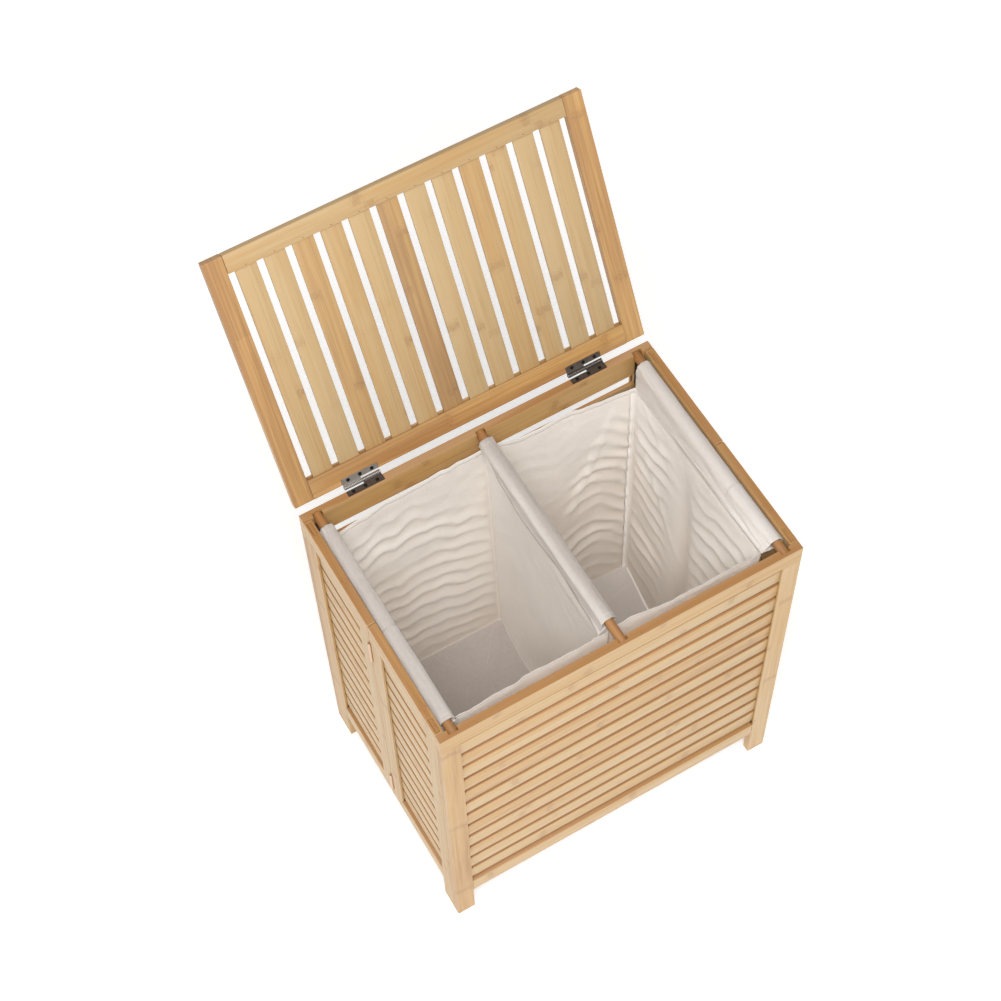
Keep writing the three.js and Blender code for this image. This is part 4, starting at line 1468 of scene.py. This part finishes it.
class Bin:
    """One bin of the liner: a hung shell with a folded hem, rippled walls and a sagging floor."""

    def __init__(self, name):
        self.name, self.form, self.side = name, BINS[name], SIDES[name]
        self.seed = self.form["seed"]
        self.floor_z = span("front_slats_and_bottom_rail", 2)[0] + mm(self.form["lift"])
        self.stations = rim_stations(self.form, self.side)
        self.rims = [self.rim_height(station) for station in self.stations]

    def wave(self, along, z, kind):
        """Smooth noise on a wall."""
        often, often_up, row, high = kind
        return wobble(along * often, z * often_up, self.seed + row) * high

    def rim_height(self, station):
        """How high the cloth's edge hangs at a place on the rim."""
        x, y = station.top.x, station.top.y - MIDDLE_Y
        wall = station.wall
        if wall == "corner":
            wall = "back" if y > 0 else "front"
        if wall == "outer":
            return along_table(self.form["ridge"], y)
        if wall in HEM_WAVES:
            waves = sum(wobble(x * often, row, 0) * high for often, row, high in HEM_WAVES[wall])
            return along_table(self.form[f"{wall}_hem"], x) + waves
        height = DIVIDER_TOP
        for end, sign, place in DIVIDER_ENDS:
            near = max(0.0, 1 - (place - sign * y) / DIVIDER_RISE)
            height += (along_table(self.form[f"{end}_hem"], 0) - DIVIDER_TOP) * near**2
        return height

    def ripples(self, wall, x, y, z):
        """How much higher a wall's ripples lie at a place, and how deep they are there."""
        if wall == "outer":
            return along_table(END_RISE, y), plain_table(END_DEPTH, y)
        if wall == "front":
            from_edge = min(abs(x), abs(abs(x) - mm(220)))
            return mm(10) * math.cos(x * 60), 0.75 * min(1.0, from_edge / mm(20))
        rise = along_table(self.form["back_rise"], x)
        depth = plain_table(self.form["back_depth"], x)
        if self.side > 0:
            gathered = clamp((x - along_table(GATHER_FOLD, z)) / mm(6))
            to_seam = clamp((mm(226) - x) / mm(10))
            depth += 1.3 * gathered * to_seam * clamp((mm(540) - z) / mm(60))
        else:
            # The gathers hang in scallops between a few straight creases
            shift = wobble(z * 9, self.seed, 4) * mm(12)
            rise += mm(6) * (abs(math.sin(math.pi * (x + mm(150) + shift) / mm(48))) - 0.6)
        return rise, depth

    def swell(self, station, z, rim):
        """How far the cloth stands out of a wall, from its ripples and soft folds, in metres."""
        _, cloth, _, _ = settings()
        wall = station.wall
        x, y = station.top.x, station.top.y - MIDDLE_Y
        along = x if wall in ("front", "back") else y
        down, up = rim - z, z - self.floor_z
        ends = clamp((up - ABOVE_FLOOR) / FADING)
        swell, soft = 0.0, self.wave(along, z, SOFT)
        if wall == "inner":
            soft *= 0.45
        else:
            rise, depth = self.ripples(wall, x, y, z)
            warp = self.wave(along, z, WARP) + self.wave(along, z, WRINKLE)
            patch = PATCH_USUAL + PATCH_MOST * wobble(along * 9, z * 16, self.seed)
            patch = min(PATCH_MOST, max(PATCH_LEAST, patch))
            swell = fold_wave((z - rise + warp) / cloth.ripple_pitch * math.tau)
            swell *= cloth.ripple * depth * patch
            swell *= clamp((down - BELOW_RIM) / GROWTH) * (0.25 + 0.75 * ends)
        belly = math.sin(math.pi * down / (rim - self.floor_z)) * station.edge(BELLY_ENDS)
        swell -= BELLY[wall] * belly
        if wall == "outer":
            swell += VALLEY_HIGH * bell(y - along_table(END_VALLEY, z), VALLEY_WIDE) * belly
        swell -= sum(crease((along, z), *line) for line in CREASES.get((self.name, wall), ()))
        pucker = self.wave(along, z, PUCKER) * bell(down, PUCKER_REACH)
        soft *= min(1.0, down / SOFT_REACH) * min(1.0, ends + 0.2)
        return swell + soft + self.wave(along, z, FINE) + pucker

    def ruffle(self, station):
        """How far the front and back hems stand out, here and there."""
        if station.wall not in HEM_WAVES:
            return 0.0
        along = station.top.x + station.top.y
        waves = wobble(along * 30, self.seed, 0) * mm(2.2)
        waves += wobble(along * 75, self.seed, 5) * mm(1.5)
        return waves * station.edge(BELLY_ENDS)

    def sway(self, station):
        """How far the front hem hangs out of its straight line."""
        if station.wall != "front":
            return 0.0
        return along_table(self.form["front_sway"], station.top.x)

    def hem_row(self, down, inset):
        """A row round the hem."""
        points = []
        for station, rim in zip(self.stations, self.rims):
            place = station.top + Vector((0, self.sway(station)))
            points.append((*station.off(place, self.ruffle(station) - inset), rim - down))
        return points

    def wall_point(self, station, rim, z):
        """A point on a wall, and how much painted warm shade and glow it gets."""
        deep = (rim - z) / (rim - self.floor_z)
        place = station.top.lerp(station.foot, deep)
        place.y += self.sway(station) * (1 - deep)
        out, swell = 0.0, 0.0
        if station.wall == "outer":
            out -= mm(self.form["bow"]) * deep * math.sin(math.pi * station.share)
        if station.wall != "corner":
            swell = self.swell(station, z, rim) * station.edge(WALL_ENDS)
            out += swell + self.ruffle(station) * max(0.0, 1 - (rim - z) / RUFFLE_REACH)
        # The bins hang back to back at the divider, and neither may come through the other
        if station.wall == "inner" and self.side > 0:
            out = min(out, mm(0.3))
        elif station.wall == "inner":
            lower = max(0.0, deep - 0.6) / 0.4
            out -= mm(6) * max(0.0, math.sin(math.tau * station.share)) * lower
        out -= station.seam * mm(0.5)
        # Painted warm shade: more in the ripples' hollows and further down
        hollow = clamp(0.5 + swell / mm(4.5))
        base, more = WARM_SHADE_AND_GLOW[station.wall]
        warm = min(1.0, (base + more * deep) * (0.45 + 1.1 * hollow)) * (1 - station.seam)
        return (*station.off(place, out), z), warm

    def hem_rows(self, rows, hem):
        """Up the inside of the hem to its folded edge, and down the outside to its stitches."""
        # The hem's folded edge is greyed with painted shade
        hem_shade = [HEM_SHADE[station.wall] for station in self.stations]
        steps = (
            (hem, 0.2, 0.0), (hem * 0.82, 1.0, 0.0), (hem * 0.64, 0.0, 0.0), (HEM_FOLD, 0.0, hem_shade),
        )
        for down, stitch, grey in steps:
            rows.add(self.hem_row(down, HEM_FOLD), -down, stitch=stitch, floor=grey)
        rows.add(self.hem_row(0.0, HEM_FOLD / 2), 0.0, floor=hem_shade)
        for down, stitch, grey in reversed(steps):
            rows.add(self.hem_row(down, 0.0), down, stitch=stitch, floor=grey)

    def wall_rows(self, rows, hem, grid):
        """Down the walls to the floor."""
        seams = [station.seam for station in self.stations]
        levels = round((RIM_Z - self.floor_z) / (grid * 1.05))
        turn_z = self.floor_z + FLOOR_TURN
        for level in range(1, levels + 1):
            points, warm_shades = [], []
            for station, rim in zip(self.stations, self.rims):
                start = rim - hem
                z = start + (turn_z - start) * level / levels
                point, warm = self.wall_point(station, rim, z)
                points.append(point)
                warm_shades.append(warm)
            drop = hem + (RIM_Z - hem - turn_z) * level / levels
            rows.add(points, drop, seam=seams, warm=warm_shades)

    def floor_rows(self, rows, middle):
        """In at a stitched edge, and down to the middle of the floor."""
        # The whole floor is darkened with painted shade
        shade = self.form["floor"]
        foot = rows.points[-1]
        for inset, lift in FLOOR_EDGE:
            banded = self.side > 0 and inset < 4
            seams = [float(banded and station.wall == "outer") for station in self.stations]
            points = []
            for x, y, _ in foot:
                inward = (middle - Vector((x, y))).normalized() * mm(inset)
                points.append((x + inward.x, y + inward.y, self.floor_z + mm(lift)))
            rows.add(points, rows.drops[-1] + mm(2), floor=shade, seam=seams)
        edge = rows.points[-1]
        for shrink in FLOOR_RINGS:
            points = []
            for x, y, _ in edge:
                flat = Vector((x - middle.x, y - middle.y)) * (1 - shrink)
                across = flat.x * 0.8 + flat.y * 0.6
                lines = abs(wobble(across * 26, flat.y * 3, self.seed + 5))
                soft = wobble(flat.x * 12, flat.y * 12, self.seed + 8)
                rise = (mm(2.6) * (0.25 - lines) + mm(2.2) * soft) * min(1.0, shrink * 9)
                z = self.floor_z - FLOOR_SAG * math.sin(shrink * math.pi / 2) + rise
                points.append((middle.x + flat.x, middle.y + flat.y, z))
            rows.add(points, rows.drops[-1] + mm(10), floor=shade)

    def make(self):
        """The finished bin."""
        _, cloth, _, _ = settings()
        rows = Rows()
        self.hem_rows(rows, cloth.hem)
        self.wall_rows(rows, cloth.hem, cloth.grid)
        middle = Vector(np.mean(rows.points[-1], axis=0)[:2])
        self.floor_rows(rows, middle)
        runs = lengths_round([station.top for station in self.stations])
        hub = (middle.x, middle.y, self.floor_z - FLOOR_SAG)
        return cloth_piece(f"liner_{self.name}_bin", rows, runs, hub, self.form["floor"])


def round_rod(angle):
    """A direction across a rod."""
    return Vector((math.cos(angle), math.sin(angle)))


class Sleeve:
    """A loose tube of cloth over a rod, drawn together at a stitched ridge beside and below it."""

    def __init__(self, name):
        _, cloth, _, _ = settings()
        self.name, self.form = name, SLEEVES[name]
        self.seed = self.form["seed"]
        self.rod_x = self.form["rod"] * ROD_X
        self.centre = Vector((self.rod_x + mm(self.form["lean"]), ROD_Z - SLEEVE_DROP))
        self.slack_radius = ROD_RADIUS + cloth.sleeve_slack + cloth.thick / 2 + SLEEVE_OFF
        self.front, self.rear = mm(self.form["ridge"][0][0]), mm(self.form["ridge"][-1][0])
        self.overlap = mm(self.form["overlap"])

    def places(self, grid):
        """Where along the rod its rows are."""
        count = round((self.rear - self.front) / grid)
        places = {round(v, 6) for v in np.linspace(self.front, self.rear, count)}
        for step in END_ROWS:
            places |= {round(self.front + mm(step), 6), round(self.rear - mm(step), 6)}
        if self.front < self.overlap < self.rear:
            places |= {round(self.overlap + mm(step), 6) for step in (-0.3, 0.3)}
        return sorted(places)

    def radius(self, y):
        """How far the cloth lies from its centre. The front length lies over the rear one."""
        over = SLEEVE_OVER if y < self.overlap else 0.0
        return self.slack_radius + over + wobble(y * 14, self.seed, 6) * mm(0.7)

    def profile(self, y):
        """The smooth profile of a row: its points, how much each is a seam, and how much painted
        shade greys it.
        """
        table, seed, centre, radius = self.form["ridge"], self.seed, self.centre, self.radius(y)
        ridge = Vector((self.rod_x + along_table(table, y), along_table(table, y, 2)))
        ridge.x += wobble(y * 16, seed, 1) * mm(1.6)
        ridge.y += wobble(y * 13, seed, 2) * mm(1.2)
        toward = ridge - centre
        inward = toward.normalized()
        lean = math.atan2(toward.y, toward.x)
        spread = math.acos(min(0.999, radius / toward.length))
        aside = Vector((-inward.y, inward.x)) * RIDGE_HALF
        tail = ridge + inward * RIDGE_TAIL
        # Painted shade greys the sleeve: its ridge, flanks and top
        grey = self.form["grey"]

        def flank(sign, i):
            touch = centre + round_rod(lean + sign * spread) * radius
            point = (ridge + aside * (1.2 * sign)).lerp(touch, i / RIDGE_STEPS)
            return point, 0.0, grey * (0.35 + 0.03 * i)

        def over_rod(i):
            # Painted shade: the top of the sleeve is greyest, its sides less
            angle = lean + spread + (math.tau - 2 * spread) * i / ROUND_STEPS
            shade = grey * (0.5 + 0.5 * max(0.0, math.sin(angle)))
            return centre + round_rod(angle) * radius, 0.0, shade

        steps = range(1, RIDGE_STEPS)
        return [
            (tail + aside, 0.4, 0.3),
            (ridge + aside, 0.4, 0.3),
            *(flank(1, i) for i in steps),
            *(over_rod(i) for i in range(ROUND_STEPS + 1)),
            *(flank(-1, i) for i in reversed(steps)),
            (ridge - aside, 0.4, 0.3),
            (tail - aside, 0.4, 0.3),
        ]

    def rucked(self, y, points):
        """The points of a row with the cloth's rucks, except at the ridge."""
        radius, seed = self.radius(y), self.seed
        near_end = math.exp(-self.from_end(y) / mm(11))
        shaped = []
        for i, point in enumerate(points):
            off = point - self.centre
            out = off.normalized()
            loose = clamp((off.length - radius) / mm(6))
            ruck = wobble(y * 34, i * 0.22, seed) * mm(1.5) * (0.4 + loose)
            ruck += wobble(y * 11 + i * 0.12, i * 0.1, seed + 3) * mm(2.2) * loose
            ruck += math.sin(i * 1.1 + y * 90 + seed) * mm(0.7) * near_end
            # On top the cloth can only dip towards the rod
            if out.y > 0.6:
                ruck = max(mm(-0.9), min(ruck, mm(0.2)))
            if i < 2 or i >= len(points) - 2:
                ruck = 0.0
            z = min(point.y + out.y * ruck, TOP_Z + mm(0.5))
            shaped.append((point.x + out.x * ruck, MIDDLE_Y + y, z))
        return shaped

    def from_end(self, y):
        """How far a place is from the nearer end."""
        return min(y - self.front, self.rear - y)

    def make(self):
        """The finished sleeve."""
        _, cloth, _, _ = settings()
        rows, runs = Rows(), None
        for y in self.places(cloth.grid):
            points, seams, shade_greys = zip(*self.profile(y))
            runs = runs or lengths_round(list(points))
            stitch = float(STITCHES_FROM < self.from_end(y) < STITCHES_TO)
            rows.add(self.rucked(y, points), y - self.front, stitch=stitch, seam=seams)
        # The painted shade runs straight along the sleeve, as it is at the rear end
        rows.marks["floor"] = [shade_greys] * len(rows.points)
        return cloth_piece(f"liner_{self.name}_sleeve", rows, runs)


class HAMPER_OT_liner(bpy.types.Operator):
    """Hang the cloth liner: two bins and the sleeves that slide on the rods."""

    bl_idname = "hamper.liner"
    bl_label = "Liner"

    def execute(self, context):
        left, right = Bin("left").make(), Bin("right").make()
        sleeves = {name: Sleeve(name).make() for name in SLEEVES}
        for piece in (left, right, *sleeves.values()):
            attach(piece, "liner_and_rods")
        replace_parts(left, "liner")
        return {"FINISHED"}


# ---- stage ---------------------------------------------------------------------------

FLOOR_SIZE = 30.0
SENSOR_WIDTH = 36.0
AIR_TINT = (1.0, 0.99, 0.975, 1)
# The soft lights point at this height over the floor
LIGHTS_AIM_AT = mm(350)
# From the camera up to the main light
KEY_LIFT = Vector((0, 0, 0.25))
# Each soft light: the setting that holds its power, its place, its size and its tint. The main
# one goes with the camera.
SOFTBOXES = (
    ("key", None, (1.3, 1.3), (1.0, 0.99, 0.98)),
    ("front", (-1.0, -5.0, 1.7), (3.0, 2.0), (1.0, 0.985, 0.96)),
    ("left", (-5.0, 0.2, 1.7), (3.0, 2.0), (1.0, 0.99, 0.975)),
)


def line_of_sight(stage):
    """From the camera's target to the camera."""
    a, e = stage.azimuth, stage.elevation
    return Vector((math.sin(a) * math.cos(e), -math.cos(a) * math.cos(e), math.sin(e)))


def camera_place(stage):
    """Where the camera stands."""
    target = Vector((stage.target_x, MIDDLE_Y + stage.target_y, stage.target_z))
    return target + line_of_sight(stage) * stage.distance


class HAMPER_OT_stage(bpy.types.Operator):
    """Set up the pale floor, the studio light and the camera."""

    bl_idname = "hamper.stage"
    bl_label = "Stage"

    def execute(self, context):
        _, _, _, stage = settings()
        scene = context.scene
        deselect_all()
        bpy.ops.mesh.primitive_plane_add(size=FLOOR_SIZE, location=(0, 0, -mm(0.5)))
        floor = settle(bpy.context.object)
        floor.name = "studio_floor"
        material, wire, shader = new_material("studio_floor_paint")
        uneven = wire.ramp(wire.noise(wire.here(), 6.0), 0.3, 0.7)
        wire.feed(shader, {
            "Base Color": wire.mix(uneven, rgba(stage.floor), rgba(stage.floor, 0.985)),
            "Roughness": 0.9,
            "Emission Color": (1, 1, 1, 1),
            "Emission Strength": stage.floor_glow,
        })
        dress(floor, material)

        world = bpy.data.worlds.new("studio_air")
        scene.world = world
        world.use_nodes = True
        sky = world.node_tree.nodes["Background"]
        sky.inputs["Color"].default_value = AIR_TINT
        sky.inputs["Strength"].default_value = stage.sky
        middle = Vector((0, MIDDLE_Y, LIGHTS_AIM_AT))

        def softbox(name, place, size, power, tint):
            lamp = bpy.data.lights.new(name, "AREA")
            lamp.shape = "RECTANGLE"
            lamp.size, lamp.size_y = size
            lamp.energy = power
            lamp.color = tint
            obj = bpy.data.objects.new(name, lamp)
            scene.collection.objects.link(obj)
            obj.location = place
            obj.rotation_euler = (middle - place).to_track_quat("-Z", "Y").to_euler()

        camera_at = camera_place(stage)
        for name, place, size, tint in SOFTBOXES:
            place = Vector(place) if place else camera_at + KEY_LIFT
            softbox(f"{name}_light", place, size, getattr(stage, name), tint)

        lens = bpy.data.cameras.new("camera")
        lens.lens, lens.sensor_width = stage.lens, SENSOR_WIDTH
        lens.clip_start, lens.clip_end = 0.05, 100.0
        camera = bpy.data.objects.new("camera", lens)
        scene.collection.objects.link(camera)
        scene.camera = camera
        back = line_of_sight(stage)
        right = (-back).cross(Vector((0, 0, 1))).normalized()
        down = (-back).cross(right)
        roll = stage.roll
        turned_right = right * math.cos(roll) + down * math.sin(roll)
        turned_down = down * math.cos(roll) - right * math.sin(roll)
        turn = Matrix((turned_right, -turned_down, back)).transposed().to_4x4()
        camera.matrix_world = Matrix.Translation(camera_at) @ turn
        scene.view_settings.view_transform = "Standard"
        # Light has to find its way down into the bins, from wall to wall
        scene.cycles.max_bounces = 16
        scene.cycles.diffuse_bounces = 12
        return {"FINISHED"}


class HAMPER_PT_pieces(bpy.types.Panel):
    """The hamper's pieces and settings."""

    bl_idname = "HAMPER_PT_pieces"
    bl_label = "Hamper"
    bl_space_type = "VIEW_3D"
    bl_region_type = "UI"
    bl_category = "Hamper"

    def draw(self, context):
        column = self.layout.column()
        for operator in OPERATORS:
            column.operator(operator.bl_idname)
        for group_name in GROUP_CLASSES:
            values = getattr(context.scene, group_name)
            column.separator()
            for key in values.__annotations__:
                column.prop(values, key)


OPERATORS = (
    HAMPER_OT_stage,
    HAMPER_OT_boards,
    HAMPER_OT_slats,
    HAMPER_OT_lid_slats,
    HAMPER_OT_rods,
    HAMPER_OT_lid_hinges,
    HAMPER_OT_folding_hinges,
    HAMPER_OT_liner,
)
GROUP_CLASSES = {
    "hamper_boards": HamperBoards,
    "hamper_hinges": HamperHinges,
    "hamper_cloth": HamperCloth,
    "hamper_colours": HamperColours,
    "hamper_stage": HamperStage,
}


def register():
    """Registers the settings, operators and panel."""
    for name, cls in GROUP_CLASSES.items():
        bpy.utils.register_class(cls)
        setattr(bpy.types.Scene, name, bpy.props.PointerProperty(type=cls))
    for cls in (*OPERATORS, HAMPER_PT_pieces):
        bpy.utils.register_class(cls)


def unregister():
    """Takes them away again."""
    for cls in reversed((*OPERATORS, HAMPER_PT_pieces)):
        bpy.utils.unregister_class(cls)
    for name, cls in GROUP_CLASSES.items():
        delattr(bpy.types.Scene, name)
        bpy.utils.unregister_class(cls)


def main():
    """Makes every piece in order."""
    register()
    for operator in OPERATORS:
        getattr(bpy.ops.hamper, operator.bl_idname.removeprefix("hamper."))()
    bpy.context.view_layer.update()


if __name__ == "__main__":
    main()
